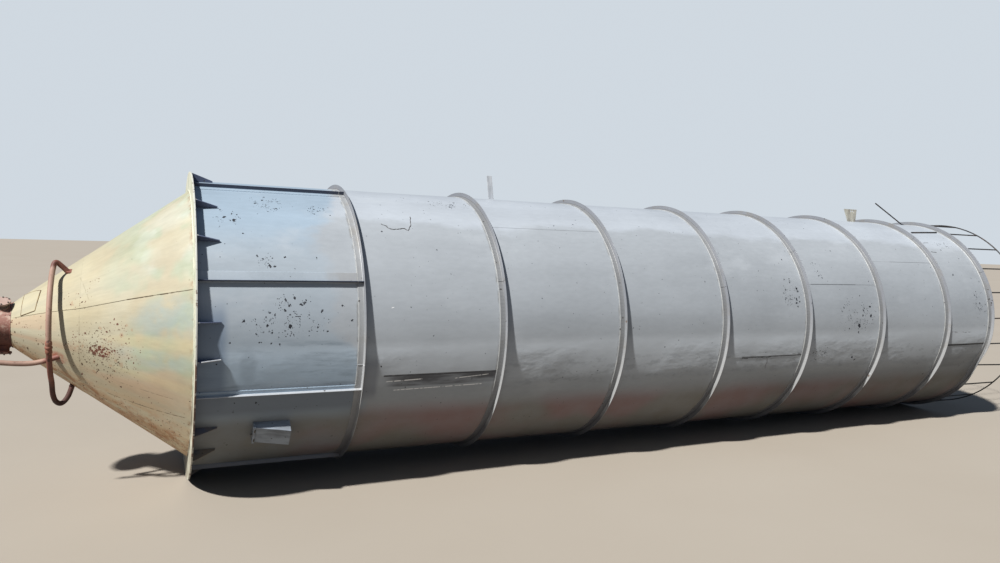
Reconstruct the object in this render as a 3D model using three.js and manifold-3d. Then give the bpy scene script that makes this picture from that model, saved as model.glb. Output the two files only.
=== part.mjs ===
// Grain silo lying on its side, as it is moved and stored: millimetres, +Z up.
// The silo's own axis runs along X, with the discharge cone towards -X and the roof towards +X.
// An angle on the shell is 0 on the -Y side, 90 at the top and 180 on the +Y side, in degrees.

import * as THREE from "three";
import { mergeVertices } from "three/addons/utils/BufferGeometryUtils.js";
import Module from "manifold-3d";

// Driving dimensions of the shell
const shellRadius = 1225;
const shellPlate = 5;
const lowerCourse = 1240;
const lowerCourseCount = 4;
const upperCourse = 1150;
const upperCourseCount = 3;
const roofCourse = 835;
const facets = 48;
const seat = 0.3;

// Stiffening rings and bars, rolled from steel angle
const ringLeg = 50;
const ringSteel = 5;

// Bars of the bottom bay: the angle of the shell flat that each lies on, and how far round from its
// middle the standing leg's root and the flat leg's toe are
const bars = [
  [22.5, -49, 31],
  [67.5, 60, 10],
  [112.5, -60, -10],
  [157.5, 49, -31],
  [202.5, -45, -77],
  [247.5, 0, 50],
  [292.5, 0, -50],
  [337.5, 45, 77],
];

// Support ring with its gussets
const supportRadius = 1335;
const supportBore = 1120;
const supportSteel = 12;
const gussetLength = 165;
const gussetSteel = 8;
const gussetNose = 14;
const gussetPitch = 15;
const gussetStart = 7.5;
const gussetsPerBar = 3;

// Discharge cone and its patch
const coneTopRadius = 1142;
const coneEndRadius = 178;
const coneLength = 1274;
const conePlate = 5;
const coneSplit = 780;
const patchSteel = 4;
const patchStart = 1095;
const patchLength = 130;
const patchFrom = 24;
const patchTo = 68;

// Outlet neck, its flange and the two nozzles beside it
const neckRadius = 176;
const neckWall = 8;
const neckLength = 170;
const outletFlangeRadius = 246;
const outletFlangeSteel = 14;
const outletHoles = 12;
const outletSides = 32;
const outletHoleRadius = 9;
const nozzleRadius = 42;
const nozzleCapRadius = 58;
const nozzleCapSteel = 14;
const nozzleReach = 268;
const nozzleFromNeck = 62;
const nozzleAngle = 75;
const nozzleSides = 16;

// Air pipes round the cone
const pipeRadius = 20;
const pipeSides = 8;
const manifoldPlane = -995;
const manifoldBow = 520;
const manifoldSteps = 38;
const unionRadius = 31;
const unionLength = 108;
const feedY = -372;
const feedZ = -238;
const feedStart = -1402;
const feedBend = -1120;
const feedSag = 20;
const feedEnd = -890;
const feedLift = 40;

// Box on the lower shell, top lugs and rod
const boxStart = 440;
const boxLength = 262;
const boxWidth = 176;
const boxHeight = 112;
const boxAngle = -37.5;
const boxLid = 18;
const boxRim = 8;
const boxLidLift = 6;
const lugStation = 2859;
const lugWidth = 56;
const lugHeight = 245;
const lugSteel = 12;
const lugLean = 30;
const roofLugStation = 8100;
const roofLugFoot = 110;
const roofLugHead = 175;
const roofLugHeight = 190;
const roofLugHole = 14;
const roofLugHoles = [-10, 28];
const roofLugHoleDrop = 26;
const rodRadius = 8;
const rodFoot = 9060;
const rodRun = 470;
const rodRise = 265;

// Roof and its guard rail
const roofPlate = 6;
const hatchStation = 520;
const hatchRadius = 300;
const hatchHeight = 90;
const hatchLid = 12;
const hatchRim = 30;
const hatchSides = 24;
const railRadius = 1250;
const railReach = 650;
const railBar = 8;
const railSides = 4;
const railPitch = 15;
const railStart = 7.5;

const wasm = await Module();
wasm.setup();

const turn = (degrees) => THREE.MathUtils.degToRad(degrees);
const flatFactor = Math.cos(Math.PI / facets);
const axial = new THREE.Vector3(1, 0, 0);
const radial = (angle) => new THREE.Vector3(0, -Math.cos(turn(angle)), Math.sin(turn(angle)));
const tangent = (angle) => new THREE.Vector3(0, Math.sin(turn(angle)), Math.cos(turn(angle)));
const onShell = (x, r, angle) => radial(angle).multiplyScalar(r).setX(x);

// Course ends along the silo: the support ring, the seven stiffening rings and the roof edge
const stations = [0];
for (let k = 0; k < lowerCourseCount; k += 1) stations.push(stations.at(-1) + lowerCourse);
for (let k = 0; k < upperCourseCount; k += 1) stations.push(stations.at(-1) + upperCourse);
const roofEdge = stations.at(-1) + roofCourse;
const shellFlat = shellRadius * flatFactor;
const seatRadius = shellRadius + seat / flatFactor;
const coneSlope = (coneTopRadius - coneEndRadius) / coneLength;
const coneRadiusAt = (depth) => coneTopRadius - coneSlope * depth;
const coneStart = -supportSteel;
const coneTip = coneStart - coneLength;

// Welds the corners of a geometry and keeps its positions only
function welded(geometry) {
  const bare = geometry.clone();
  bare.deleteAttribute("normal");
  bare.deleteAttribute("uv");
  return mergeVertices(bare, 1e-3);
}

function solid(geometry) {
  const closed = welded(geometry);
  return new wasm.Manifold(new wasm.Mesh({
    numProp: 3,
    vertProperties: new Float32Array(closed.attributes.position.array),
    triVerts: new Uint32Array(closed.index.array),
  }));
}

function geometryOf(body) {
  const mesh = body.getMesh();
  const geometry = new THREE.BufferGeometry();
  geometry.setAttribute("position", new THREE.BufferAttribute(mesh.vertProperties, 3));
  geometry.setIndex(new THREE.BufferAttribute(mesh.triVerts, 1));
  return geometry;
}

function joined(geometries) {
  return geometryOf(geometries.map(solid).reduce((all, next) => all.add(next)));
}

// Turns a closed outline of [x, radius] points about the silo's axis, with a flat at the bottom
function revolved(outline, sides = facets) {
  const points = [...outline, outline[0]].reverse().map(([x, r]) => new THREE.Vector2(r, x));
  const lathe = new THREE.LatheGeometry(points, sides, Math.PI / sides);
  lathe.rotateZ(-Math.PI / 2);
  return welded(lathe);
}

// A closed round path of few sides, for plates and their holes
function roundPath(x, y, radius, sides) {
  const path = new THREE.Shape();
  for (let k = 0; k < sides; k += 1) {
    const around = (2 * Math.PI * (k + 0.5)) / sides;
    const corner = [x + radius * Math.cos(around), y + radius * Math.sin(around)];
    if (k === 0) path.moveTo(...corner);
    else path.lineTo(...corner);
  }
  path.closePath();
  return path;
}

// A hoop of rectangular section from x0 to x1 between two radii
const hoop = (x0, x1, inner, outer) => revolved([[x0, inner], [x1, inner], [x1, outer], [x0, outer]]);

// Pushes an outline of [tangential, radial] points along X
function alongX(outline, x, length, angle) {
  const shape = new THREE.Shape(outline.map(([t, r]) => new THREE.Vector2(t, r)));
  const geometry = new THREE.ExtrudeGeometry(shape, { depth: length, bevelEnabled: false });
  const place = new THREE.Matrix4().makeBasis(tangent(angle), radial(angle), axial).setPosition(x, 0, 0);
  return geometry.applyMatrix4(place);
}

// A plate standing off the shell: an outline of [x, radial] points, with its thickness round the shell
function standing(outline, thickness, angle, offset = 0, holes = []) {
  const shape = new THREE.Shape(outline.map(([x, r]) => new THREE.Vector2(x, r)));
  for (const [x, r, radius] of holes) shape.holes.push(roundPath(x, r, radius, 8));
  const geometry = new THREE.ExtrudeGeometry(shape, { depth: thickness, bevelEnabled: false });
  const round = tangent(angle);
  const place = new THREE.Matrix4().makeBasis(axial, radial(angle), round.clone().negate());
  return geometry.applyMatrix4(place.setPosition(round.multiplyScalar(offset + thickness / 2)));
}

// A round bar or pipe along a curve through the given points
function pipeAlong(points, radius, steps, sides = pipeSides) {
  const curve = new THREE.CatmullRomCurve3(points, false, "centripetal");
  const section = roundPath(0, 0, radius, sides);
  return new THREE.ExtrudeGeometry(section, { steps, extrudePath: curve, bevelEnabled: false });
}

// A straight cylinder between two points
function rodBetween(from, to, radius, sides = pipeSides) {
  const run = to.clone().sub(from);
  const rod = new THREE.CylinderGeometry(radius, radius, run.length(), sides);
  const aim = new THREE.Quaternion().setFromUnitVectors(new THREE.Vector3(0, 1, 0), run.clone().normalize());
  return rod.applyQuaternion(aim).translate(...from.clone().lerp(to, 0.5).toArray());
}

const silo = new THREE.Group();
const finishes = {
  shell: { color: 0xa6acb0, roughness: 0.45, metalness: 0.4 },
  ring: { color: 0x9b9f9f, roughness: 0.5, metalness: 0.4 },
  support: { color: 0xb9bdb0, roughness: 0.55, metalness: 0.2 },
  cone: { color: 0xd8d6bd, roughness: 0.6, metalness: 0.1 },
  oxide: { color: 0x8a5548, roughness: 0.7, metalness: 0.1 },
  rail: { color: 0x2b2f33, roughness: 0.6, metalness: 0.3 },
};

function add(name, geometry, finish) {
  const mesh = new THREE.Mesh(welded(geometry), new THREE.MeshStandardMaterial(finishes[finish]));
  mesh.geometry.computeVertexNormals();
  mesh.name = name;
  silo.add(mesh);
  return mesh;
}

// Shell courses, each a rolled plate cylinder, butted under the rings
function addShell() {
  const ends = [...stations, roofEdge];
  for (let k = 1; k < ends.length; k += 1) {
    const start = k === 1 ? seat : ends[k - 1] - ringLeg / 2 + seat;
    const end = k === ends.length - 1 ? ends[k] : ends[k] - ringLeg / 2;
    add(`shell_course_${k}`, hoop(start, end, shellRadius - shellPlate, shellRadius), "shell");
  }
}

// An angle ring: the flat leg lies on the shell towards the cone, the other leg stands at its far side
function angleRing(station) {
  const toe = station - ringLeg;
  const web = station - ringSteel;
  const crown = shellRadius + ringLeg;
  return revolved([
    [toe, seatRadius],
    [station, seatRadius],
    [station, crown],
    [web, crown],
    [web, seatRadius + ringSteel],
    [toe, seatRadius + ringSteel],
  ]);
}

function addRings() {
  stations.slice(1).forEach((station, k) => add(`stiffener_ring_${k + 1}`, angleRing(station), "ring"));
  add("roof_edge_ring", angleRing(roofEdge), "ring");
}

// Stiffening bars of the bottom bay: the standing leg is notched over the first ring's flat leg
function addBars() {
  const base = shellFlat + seat;
  const crown = (shellRadius + ringLeg) * flatFactor;
  const end = stations[1] - ringLeg - seat;
  const web = stations[1] - ringSteel - seat;
  const overRing = base + ringSteel + seat;
  const outline = [[seat, base], [end, base], [end, overRing], [web, overRing], [web, crown], [seat, crown]];
  bars.forEach(([angle, root, toe], k) => {
    const side = Math.sign(toe - root);
    const flat = alongX([[root, base], [root, base + ringSteel], [toe, base + ringSteel], [toe, base]],
      seat, end - seat, angle);
    const upright = standing(outline, ringSteel, angle, root + (side * ringSteel) / 2);
    add(`stiffener_bar_${k + 1}`, joined([flat, upright]), "ring");
  });
}

// The support ring is a flat plate ring, with two gussets welded to it between each pair of bars
function addSupportRing() {
  const base = shellFlat + seat;
  const crown = supportRadius * flatFactor - 2;
  const outline = [[-1, base], [gussetLength, base], [gussetLength, base + gussetNose], [0, crown], [-1, crown]];
  const pieces = [hoop(-supportSteel, 0, supportBore, supportRadius)];
  for (let k = 0; k < 360 / gussetPitch; k += 1) {
    if (k % gussetsPerBar !== 1) pieces.push(standing(outline, gussetSteel, gussetStart + gussetPitch * k));
  }
  add("support_ring", joined(pieces), "support");
}

// One course of the cone between two depths below the support ring
function coneCourse(from, to, outside = 0) {
  const wall = conePlate / Math.cos(Math.atan(coneSlope));
  const outer = (depth) => coneRadiusAt(depth) + outside;
  return revolved([
    [coneStart - to, outer(to) - wall],
    [coneStart - from, outer(from) - wall],
    [coneStart - from, outer(from)],
    [coneStart - to, outer(to)],
  ]);
}

// The space that the cone and its seat take up, for trimming what meets it
function coneBlock(gap) {
  const outline = [
    [coneTip - 1, 0],
    [coneStart + 1, 0],
    [coneStart + 1, coneRadiusAt(-1) + gap],
    [coneTip - 1, coneRadiusAt(coneLength + 1) + gap],
  ];
  return solid(revolved(outline));
}

function addCone() {
  add("cone_upper_course", coneCourse(seat, coneSplit - seat), "cone");
  add("cone_lower_course", coneCourse(coneSplit, coneLength - seat), "cone");
  // The patch is a curved plate cut from a second, slightly larger cone by its own angular span
  const gap = seat / Math.cos(Math.atan(coneSlope)) / flatFactor;
  const wide = patchSteel / Math.cos(Math.atan(coneSlope));
  const rows = [[patchStart + patchLength, gap], [patchStart, gap],
    [patchStart, gap + wide], [patchStart + patchLength, gap + wide]];
  const ring = solid(revolved(rows.map(([depth, out]) => [coneStart - depth, coneRadiusAt(depth) + out])));
  const reach = 2 * coneRadiusAt(patchStart);
  const wedge = new THREE.Shape();
  wedge.moveTo(0, 0);
  wedge.lineTo(-reach * Math.cos(turn(patchTo)), reach * Math.sin(turn(patchTo)));
  wedge.lineTo(-reach * Math.cos(turn(patchFrom)), reach * Math.sin(turn(patchFrom)));
  wedge.closePath();
  const sector = new THREE.ExtrudeGeometry(wedge, { depth: coneLength, bevelEnabled: false });
  const place = new THREE.Matrix4().makeBasis(new THREE.Vector3(0, 1, 0), new THREE.Vector3(0, 0, 1), axial);
  sector.applyMatrix4(place.setPosition(coneTip, 0, 0));
  add("cone_patch_plate", geometryOf(ring.intersect(solid(sector))), "cone");
}

// The neck carries the bolted flange, and a capped nozzle stands on each side of it
function addOutlet() {
  const neckEnd = coneTip - neckLength;
  const wall = [[neckEnd + seat, neckRadius - neckWall], [coneTip, neckRadius - neckWall],
    [coneTip, neckRadius], [neckEnd + seat, neckRadius]];
  add("outlet_neck", revolved(wall, outletSides), "oxide");
  const plate = roundPath(0, 0, outletFlangeRadius, facets);
  plate.holes.push(roundPath(0, 0, neckRadius - neckWall, outletSides));
  const boltCircle = (neckRadius + outletFlangeRadius) / 2;
  for (let k = 0; k < outletHoles; k += 1) {
    const around = (2 * Math.PI * k) / outletHoles;
    const [y, z] = [boltCircle * Math.cos(around), boltCircle * Math.sin(around)];
    plate.holes.push(roundPath(y, z, outletHoleRadius, 6));
  }
  const flange = new THREE.ExtrudeGeometry(plate, { depth: outletFlangeSteel, bevelEnabled: false });
  flange.rotateY(Math.PI / 2).translate(neckEnd - outletFlangeSteel, 0, 0);
  add("outlet_flange", flange, "oxide");
  const keepClear = solid(revolved([[neckEnd, 0], [coneTip, 0], [coneTip, neckRadius + seat],
    [neckEnd, neckRadius + seat]]));
  for (const [name, angle] of [["outlet_upper_nozzle", nozzleAngle], ["outlet_lower_nozzle", -nozzleAngle]]) {
    const at = (r) => onShell(coneTip - nozzleFromNeck, r, angle);
    const stub = rodBetween(at(neckRadius - neckWall), at(nozzleReach - 1), nozzleRadius, nozzleSides);
    const cap = rodBetween(at(nozzleReach - nozzleCapSteel), at(nozzleReach), nozzleCapRadius, nozzleSides);
    add(name, geometryOf(solid(stub).add(solid(cap)).subtract(keepClear)), "oxide");
  }
}

// The manifold is one bent pipe that leaves the cone above, bows round it and enters it again below
function addPipes() {
  const block = coneBlock(seat);
  const bow = [60, 40, 20, 0, -20, -40, -56].map((angle) => onShell(manifoldPlane, manifoldBow, angle));
  const route = [
    onShell(-878, 462, 64),
    onShell(-930, 520, 66),
    onShell(-978, 560, 66),
    ...bow,
    onShell(manifoldPlane, 575, -68),
    onShell(-978, 625, -74),
    onShell(-940, 640, -76),
    onShell(-896, 590, -75),
    onShell(-862, 490, -73),
  ];
  const manifold = solid(pipeAlong(route, pipeRadius, manifoldSteps)).subtract(block);
  add("air_manifold", geometryOf(manifold), "oxide");
  const unionFrom = onShell(manifoldPlane, manifoldBow + 2, -17);
  const unionTo = onShell(manifoldPlane, manifoldBow + 2, -17 - THREE.MathUtils.radToDeg(unionLength / manifoldBow));
  const sleeve = solid(rodBetween(unionFrom, unionTo, unionRadius, 12));
  const core = solid(pipeAlong(route, pipeRadius + seat, manifoldSteps));
  add("manifold_union", geometryOf(sleeve.subtract(core)), "oxide");
  const feedRoute = [
    new THREE.Vector3(feedStart, feedY, feedZ),
    new THREE.Vector3(feedBend, feedY, feedZ - feedSag),
    new THREE.Vector3(feedEnd, feedY, feedZ + feedLift),
  ];
  const feed = solid(pipeAlong(feedRoute, pipeRadius, 10)).subtract(block);
  add("air_feed_pipe", geometryOf(feed), "oxide");
}

// The box stands on a flat of the shell, with its lid towards the cone
function addBox() {
  const base = shellFlat + seat;
  const half = boxWidth / 2;
  const body = alongX([[-half, base], [half, base], [half, base + boxHeight], [-half, base + boxHeight]],
    boxStart, boxLength, boxAngle);
  const rim = half + boxRim;
  const [low, high] = [base + boxLidLift, base + boxHeight + boxRim];
  const lid = alongX([[-rim, low], [rim, low], [rim, high], [-rim, high]], boxStart - boxLid, boxLid + 1, boxAngle);
  add("side_box", joined([body, lid]), "shell");
}

function addTopPieces() {
  const base = shellFlat + seat;
  const lug = [[-lugWidth / 2, 0], [lugWidth / 2, 0], [lugWidth / 2 - lugLean, lugHeight],
    [-lugWidth / 2 - lugLean, lugHeight]];
  add("guide_lug", standing(lug.map(([x, r]) => [lugStation + x, base + r]), lugSteel, 90), "ring");
  const roofLug = [[-roofLugFoot / 2, 0], [roofLugFoot / 2, 0], [roofLugFoot / 2, roofLugHeight],
    [roofLugFoot / 2 - roofLugHead, roofLugHeight]];
  const holeHeight = base + roofLugHeight - roofLugHoleDrop;
  const holes = roofLugHoles.map((x) => [roofLugStation + x, holeHeight, roofLugHole]);
  const outline = roofLug.map(([x, r]) => [roofLugStation + x, base + r]);
  add("lifting_lug", standing(outline, lugSteel, 90, 0, holes), "ring");
  const foot = new THREE.Vector3(rodFoot, 0, base);
  const tip = foot.clone().add(new THREE.Vector3(-rodRun, 0, rodRise));
  const trim = solid(hoop(rodFoot - 200, rodFoot + 150, shellRadius - 100, seatRadius));
  add("stay_rod", geometryOf(solid(rodBetween(foot, tip, rodRadius, 8)).subtract(trim)), "rail");
}

// The roof is a flat plate inside the last course, with a hatch, and a guard rail stands round its edge
function addRoof() {
  const inner = shellRadius - shellPlate - seat;
  add("roof_plate", revolved([[roofEdge - roofPlate, 0], [roofEdge, 0], [roofEdge, inner],
    [roofEdge - roofPlate, inner]]), "shell");
  const neck = new THREE.CylinderGeometry(hatchRadius, hatchRadius, hatchHeight, hatchSides);
  const lid = new THREE.CylinderGeometry(hatchRadius + hatchRim, hatchRadius + hatchRim, hatchLid, hatchSides);
  lid.translate(0, hatchHeight / 2, 0);
  const hatch = joined([neck, lid]);
  hatch.rotateZ(-Math.PI / 2).translate(roofEdge + seat + hatchHeight / 2, 0, hatchStation);
  add("roof_hatch", hatch, "shell");
}

function addGuardRail() {
  const from = roofEdge + seat;
  const top = roofEdge + railReach;
  const hoopSection = [];
  for (let k = 0; k < railSides; k += 1) {
    const around = (2 * Math.PI * k) / railSides;
    hoopSection.push([top + railBar * Math.cos(around), railRadius + railBar * Math.sin(around)]);
  }
  const pieces = [revolved(hoopSection)];
  for (let k = 0; k < 360 / railPitch; k += 1) {
    const angle = railStart + railPitch * k;
    const reach = railRadius * flatFactor;
    pieces.push(rodBetween(onShell(from, reach, angle), onShell(top, reach, angle), railBar, railSides));
  }
  add("guard_rail", joined(pieces), "rail");
}

addShell();
addRings();
addBars();
addSupportRing();
addCone();
addOutlet();
addPipes();
addBox();
addTopPieces();
addRoof();
addGuardRail();

// The silo lies on its support ring and its roof edge ring, which is smaller, so it is turned slightly
const supportFlat = supportRadius * flatFactor;
const roofRingFlat = (shellRadius + ringLeg) * flatFactor;
silo.rotation.y = Math.atan((supportFlat - roofRingFlat) / roofEdge);
silo.updateMatrixWorld(true);
const extent = new THREE.Box3().setFromObject(silo, true);
silo.position.set(-(extent.min.x + extent.max.x) / 2, 0, -extent.min.z);

const part = new THREE.Group();
part.add(silo);
part.updateMatrixWorld(true);

export default part;
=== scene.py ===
# %% [markdown]
# # A grain silo, lying on its side
# The silo is a welded steel tube 2.45 m across and 9.2 m long. Eight rolled courses are stiffened by rings
# of steel angle, one end narrows to a discharge cone, and the other end has a flat roof with a guard rail.
# This lesson dresses a finished engineering model: every new surface is worked out with numpy at the real
# size, then painted with procedural finishes that carry the chips, seams, scuffs and rust of an old silo.

import bmesh
import bpy
import numpy as np
from mathutils import Matrix, Vector


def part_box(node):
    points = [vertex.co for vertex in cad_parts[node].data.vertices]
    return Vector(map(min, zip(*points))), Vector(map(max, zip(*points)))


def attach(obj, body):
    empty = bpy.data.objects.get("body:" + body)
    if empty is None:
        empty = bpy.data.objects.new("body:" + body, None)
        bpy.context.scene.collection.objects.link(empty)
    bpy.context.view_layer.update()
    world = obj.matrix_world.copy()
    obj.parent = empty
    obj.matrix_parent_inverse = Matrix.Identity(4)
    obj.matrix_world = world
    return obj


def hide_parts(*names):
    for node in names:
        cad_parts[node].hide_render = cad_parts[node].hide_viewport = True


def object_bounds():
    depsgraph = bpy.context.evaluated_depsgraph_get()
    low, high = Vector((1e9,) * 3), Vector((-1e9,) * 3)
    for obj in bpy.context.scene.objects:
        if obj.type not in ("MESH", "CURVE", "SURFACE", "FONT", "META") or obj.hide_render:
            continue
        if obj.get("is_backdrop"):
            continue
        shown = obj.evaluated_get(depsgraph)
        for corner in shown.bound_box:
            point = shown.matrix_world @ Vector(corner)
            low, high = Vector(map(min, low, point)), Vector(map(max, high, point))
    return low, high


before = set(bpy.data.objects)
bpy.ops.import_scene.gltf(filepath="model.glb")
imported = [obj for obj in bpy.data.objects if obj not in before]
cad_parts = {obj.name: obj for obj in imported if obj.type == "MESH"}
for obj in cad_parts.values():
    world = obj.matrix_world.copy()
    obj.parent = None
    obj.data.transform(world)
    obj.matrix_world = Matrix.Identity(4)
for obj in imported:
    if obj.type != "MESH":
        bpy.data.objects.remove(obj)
cad_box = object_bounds()
print("parts in the engineering model:", len(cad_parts))

# %% [markdown]
# ## Sizes
# All sizes are in metres. The engineering model makes its rounds with 48 flats. The smooth rounds here pass
# through the middles of those flats, so that they rest on the same floor.

# %% Driving sizes
FLATS = 48
FLAT = np.cos(np.pi / FLATS)
SHELL_R = 1.225
PLATE = 0.005
LOWER_COURSE = 1.240
UPPER_COURSE = 1.150
ROOF_COURSE = 0.835
RING_LEG = 0.050
RING_STEEL = 0.005
RING_R = 1.275 * FLAT
SUPPORT_R = 1.335 * FLAT
SUPPORT_STEEL = 0.012
RIM_LEAST = 1.303
STATIONS = np.cumsum([0.0] + [LOWER_COURSE] * 4 + [UPPER_COURSE] * 3 + [ROOF_COURSE])
ROOF_EDGE = STATIONS[-1]
CONE_START = -SUPPORT_STEEL
CONE_LENGTH = 1.274
CONE_TOP_R = 1.142
CONE_END_R = 0.178
CONE_SLOPE = (CONE_TOP_R - CONE_END_R) / CONE_LENGTH
CONE_TIP = CONE_START - CONE_LENGTH
CONE_SPLIT = 0.780
print("rings at", np.round(STATIONS[1:], 3))

# %% [markdown]
# ## Places on the silo
# A place on the silo is easiest to say as a station along its axis, a distance out from the axis and an
# angle round it: 0 on the near side, 90 at the top and 180 on the far side. The silo lies on its wide
# support ring and its smaller roof ring, so its axis leans by a third of a degree.

# %% From the silo's own frame to the shared one
TILT = np.arctan((SUPPORT_R - RING_R) / ROOF_EDGE)
LIFT = SUPPORT_R * np.cos(TILT)
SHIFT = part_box("support_ring")[0].x + SUPPORT_STEEL * np.cos(TILT) + SUPPORT_R * np.sin(TILT)
LEAN = np.array([
    [np.cos(TILT), 0.0, np.sin(TILT)],
    [0.0, 1.0, 0.0],
    [-np.sin(TILT), 0.0, np.cos(TILT)],
])
MOVE = np.array([SHIFT, 0.0, LIFT])


def placed(points):
    """Turns points about Y by the lean and then adds the move: LEAN p + MOVE."""
    return np.asarray(points, float) @ LEAN.T + MOVE


def around(x, r, angle):
    """The point at station x, r out from the axis, at an angle in degrees: (x, -r cos, r sin)."""
    x, r, turn = np.broadcast_arrays(x, r, np.radians(angle))
    return np.stack([x, -r * np.cos(turn), r * np.sin(turn)], -1)


def cone_radius(x, out=0.0):
    """The cone's outer radius at a station: it falls by CONE_SLOPE for each metre past the support ring."""
    return CONE_TOP_R + CONE_SLOPE * (np.asarray(x) - CONE_START) + out


print("lean in degrees:", round(float(np.degrees(TILT)), 3))
print("roof edge at", placed([[ROOF_EDGE, 0, 0]])[0].round(3))

# %% [markdown]
# ## Camera
# The camera stands 7 m from the silo's axis, near its cone end, about 2 m up. Its place, lens and
# three turns were found once from the outlines of the rings, and are given in the silo's own frame.

# %% Set the camera
IMAGE_WIDTH = 1000
FOCAL_PIXELS = 744.137
SENSOR = 36.0
VIEWPOINT = (-0.328842, -6.993044, 0.759688)
YAW, PITCH, ROLL = np.radians([25.4057, -2.7834, 1.8885])

ahead = np.array([np.sin(YAW) * np.cos(PITCH), np.cos(YAW) * np.cos(PITCH), np.sin(PITCH)])
level = np.array([np.cos(YAW), -np.sin(YAW), 0.0])
upright = np.cross(level, ahead)
side = np.cos(ROLL) * level + np.sin(ROLL) * upright
top = np.cos(ROLL) * upright - np.sin(ROLL) * level
lens = bpy.data.cameras.new("viewpoint")
lens.sensor_width = SENSOR
lens.lens = FOCAL_PIXELS / IMAGE_WIDTH * SENSOR
lens.clip_end = 400
camera = bpy.data.objects.new("viewpoint", lens)
turned = np.eye(4)
turned[:3, :3] = LEAN @ np.stack([side, top, -ahead], -1)
turned[:3, 3] = placed([VIEWPOINT])[0]
camera.matrix_world = Matrix(turned.tolist())
bpy.context.scene.collection.objects.link(camera)
bpy.context.scene.camera = camera
print("lens", round(lens.lens, 2), "mm, camera height", round(float(turned[2, 3]), 2), "m")

# %% [markdown]
# ## Meshes from arrays
# Nearly every piece is a profile carried round the axis or along a line, so one function joins the
# neighbours of a grid of points into quads, and the others only work out that grid. The grid is closed
# where the profile or the path runs back into itself. Flat ends are closed with one polygon.

# %% Grid, revolve, tube and plate
ROUND = 240
NO_AXIS = (0.31, 0.17, 0.93)
ALONG = np.array([1.0, 0.0, 0.0])


def quads(points, loop_v=True, caps=False):
    """Joins point [u, v] to its neighbours. The last row of u joins the first, as v does where it is a loop,
    and caps close the two ends of v with polygons."""
    rows, columns = points.shape[:2]
    u = np.arange(rows)[:, None]
    v = np.arange(columns if loop_v else columns - 1)[None]
    next_u = (u + 1) % rows
    next_v = (v + 1) % columns
    here, there = u * columns, next_u * columns
    faces = np.stack([here + v, there + v, there + next_v, here + next_v], -1).reshape(-1, 4).tolist()
    if caps:
        ring = np.arange(rows) * columns
        faces += [ring[::-1].tolist(), (ring + columns - 1).tolist()]
    return points.reshape(-1, 3), faces


def revolved(profile, steps=ROUND):
    """Carries a closed profile of (x, r) points round the axis: each of them at each of the angles."""
    x, r = np.asarray(profile, float).T
    angle = np.arange(steps) * 360 / steps
    return quads(around(x[:, None], r[:, None], angle[None]))


def block(x0, x1, r0, r1, angle0, angle1, steps=2):
    """A slab between two stations, two radii and two angles."""
    x, r = np.array([[x0, r0], [x1, r0], [x1, r1], [x0, r1]], float).T
    angle = np.linspace(angle0, angle1, steps)
    return quads(around(x[:, None], r[:, None], angle[None]), loop_v=False, caps=True)


def frames(path, loop=False):
    """Two unit vectors across a path at each of its points: the first is the one before with its part along
    the new tangent taken away, so that a tube doesn't twist, and the second is square to both."""
    along = np.roll(path, -1, 0) - np.roll(path, 1, 0) if loop else np.gradient(path, axis=0)
    along /= np.linalg.norm(along, axis=1, keepdims=True)
    first = np.cross(along[0], NO_AXIS)
    across = []
    for tangent in along:
        first = first - tangent * (first @ tangent)
        first = first / np.linalg.norm(first)
        across.append(first)
    across = np.array(across)
    return across, np.cross(along, across)


def tube(path, radius, sides=16, loop=False):
    """A round bar: path + radius (cos a across + sin a up), with one radius or one for each point."""
    path = np.asarray(path, float)
    across, up = frames(path, loop)
    a = np.arange(sides)[:, None, None] * 2 * np.pi / sides
    r = np.broadcast_to(radius, len(path))[None, :, None]
    points = path[None] + r * (np.cos(a) * across[None] + np.sin(a) * up[None])
    return quads(points, loop_v=loop, caps=not loop)


def slab(outline, push):
    """A plate: a flat outline and the same outline moved by push, joined by their sides."""
    near = np.asarray(outline, float)
    return quads(np.stack([near, near + np.asarray(push, float)], 1), loop_v=False, caps=True)


def standing(outline, thickness, angle):
    """A plate of (x, r) points standing along the axis at an angle, with its thickness round the shell."""
    x, r = np.asarray(outline, float).T
    across = np.array([0.0, np.sin(np.radians(angle)), np.cos(np.radians(angle))])
    return slab(around(x, r, angle) - across * thickness / 2, across * thickness)


def smooth_path(points, steps=12):
    """A curve through the points: on each stretch the Catmull-Rom cubic of it and its two neighbours."""
    p = np.asarray(points, float)
    p = np.concatenate([2 * p[:1] - p[1:2], p, 2 * p[-1:] - p[-2:-1]])
    t = np.linspace(0, 1, steps, endpoint=False)[None, :, None]
    a, b, c, d = (p[k:len(p) - 3 + k, None] for k in range(4))
    curve = 2 * b + (c - a) * t + (2 * a - 5 * b + 4 * c - d) * t**2 + (3 * b - a - 3 * c + d) * t**3
    return np.concatenate([0.5 * curve.reshape(-1, 3), p[-2:-1]])


print("a full turn has", ROUND, "steps of", round(2 * np.pi * SHELL_R / ROUND * 1000, 1), "mm on the shell")

# %% [markdown]
# A piece is one mesh at its real place, so its object stays at the origin. Edges sharper than 32 degrees
# stay sharp, and thick steel gets a narrow bevel that catches the light.

# %% One function finishes every piece
SHARP = np.radians(32)
ROLLED_EDGE = 0.0012
CUT_EDGE = 0.001


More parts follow.
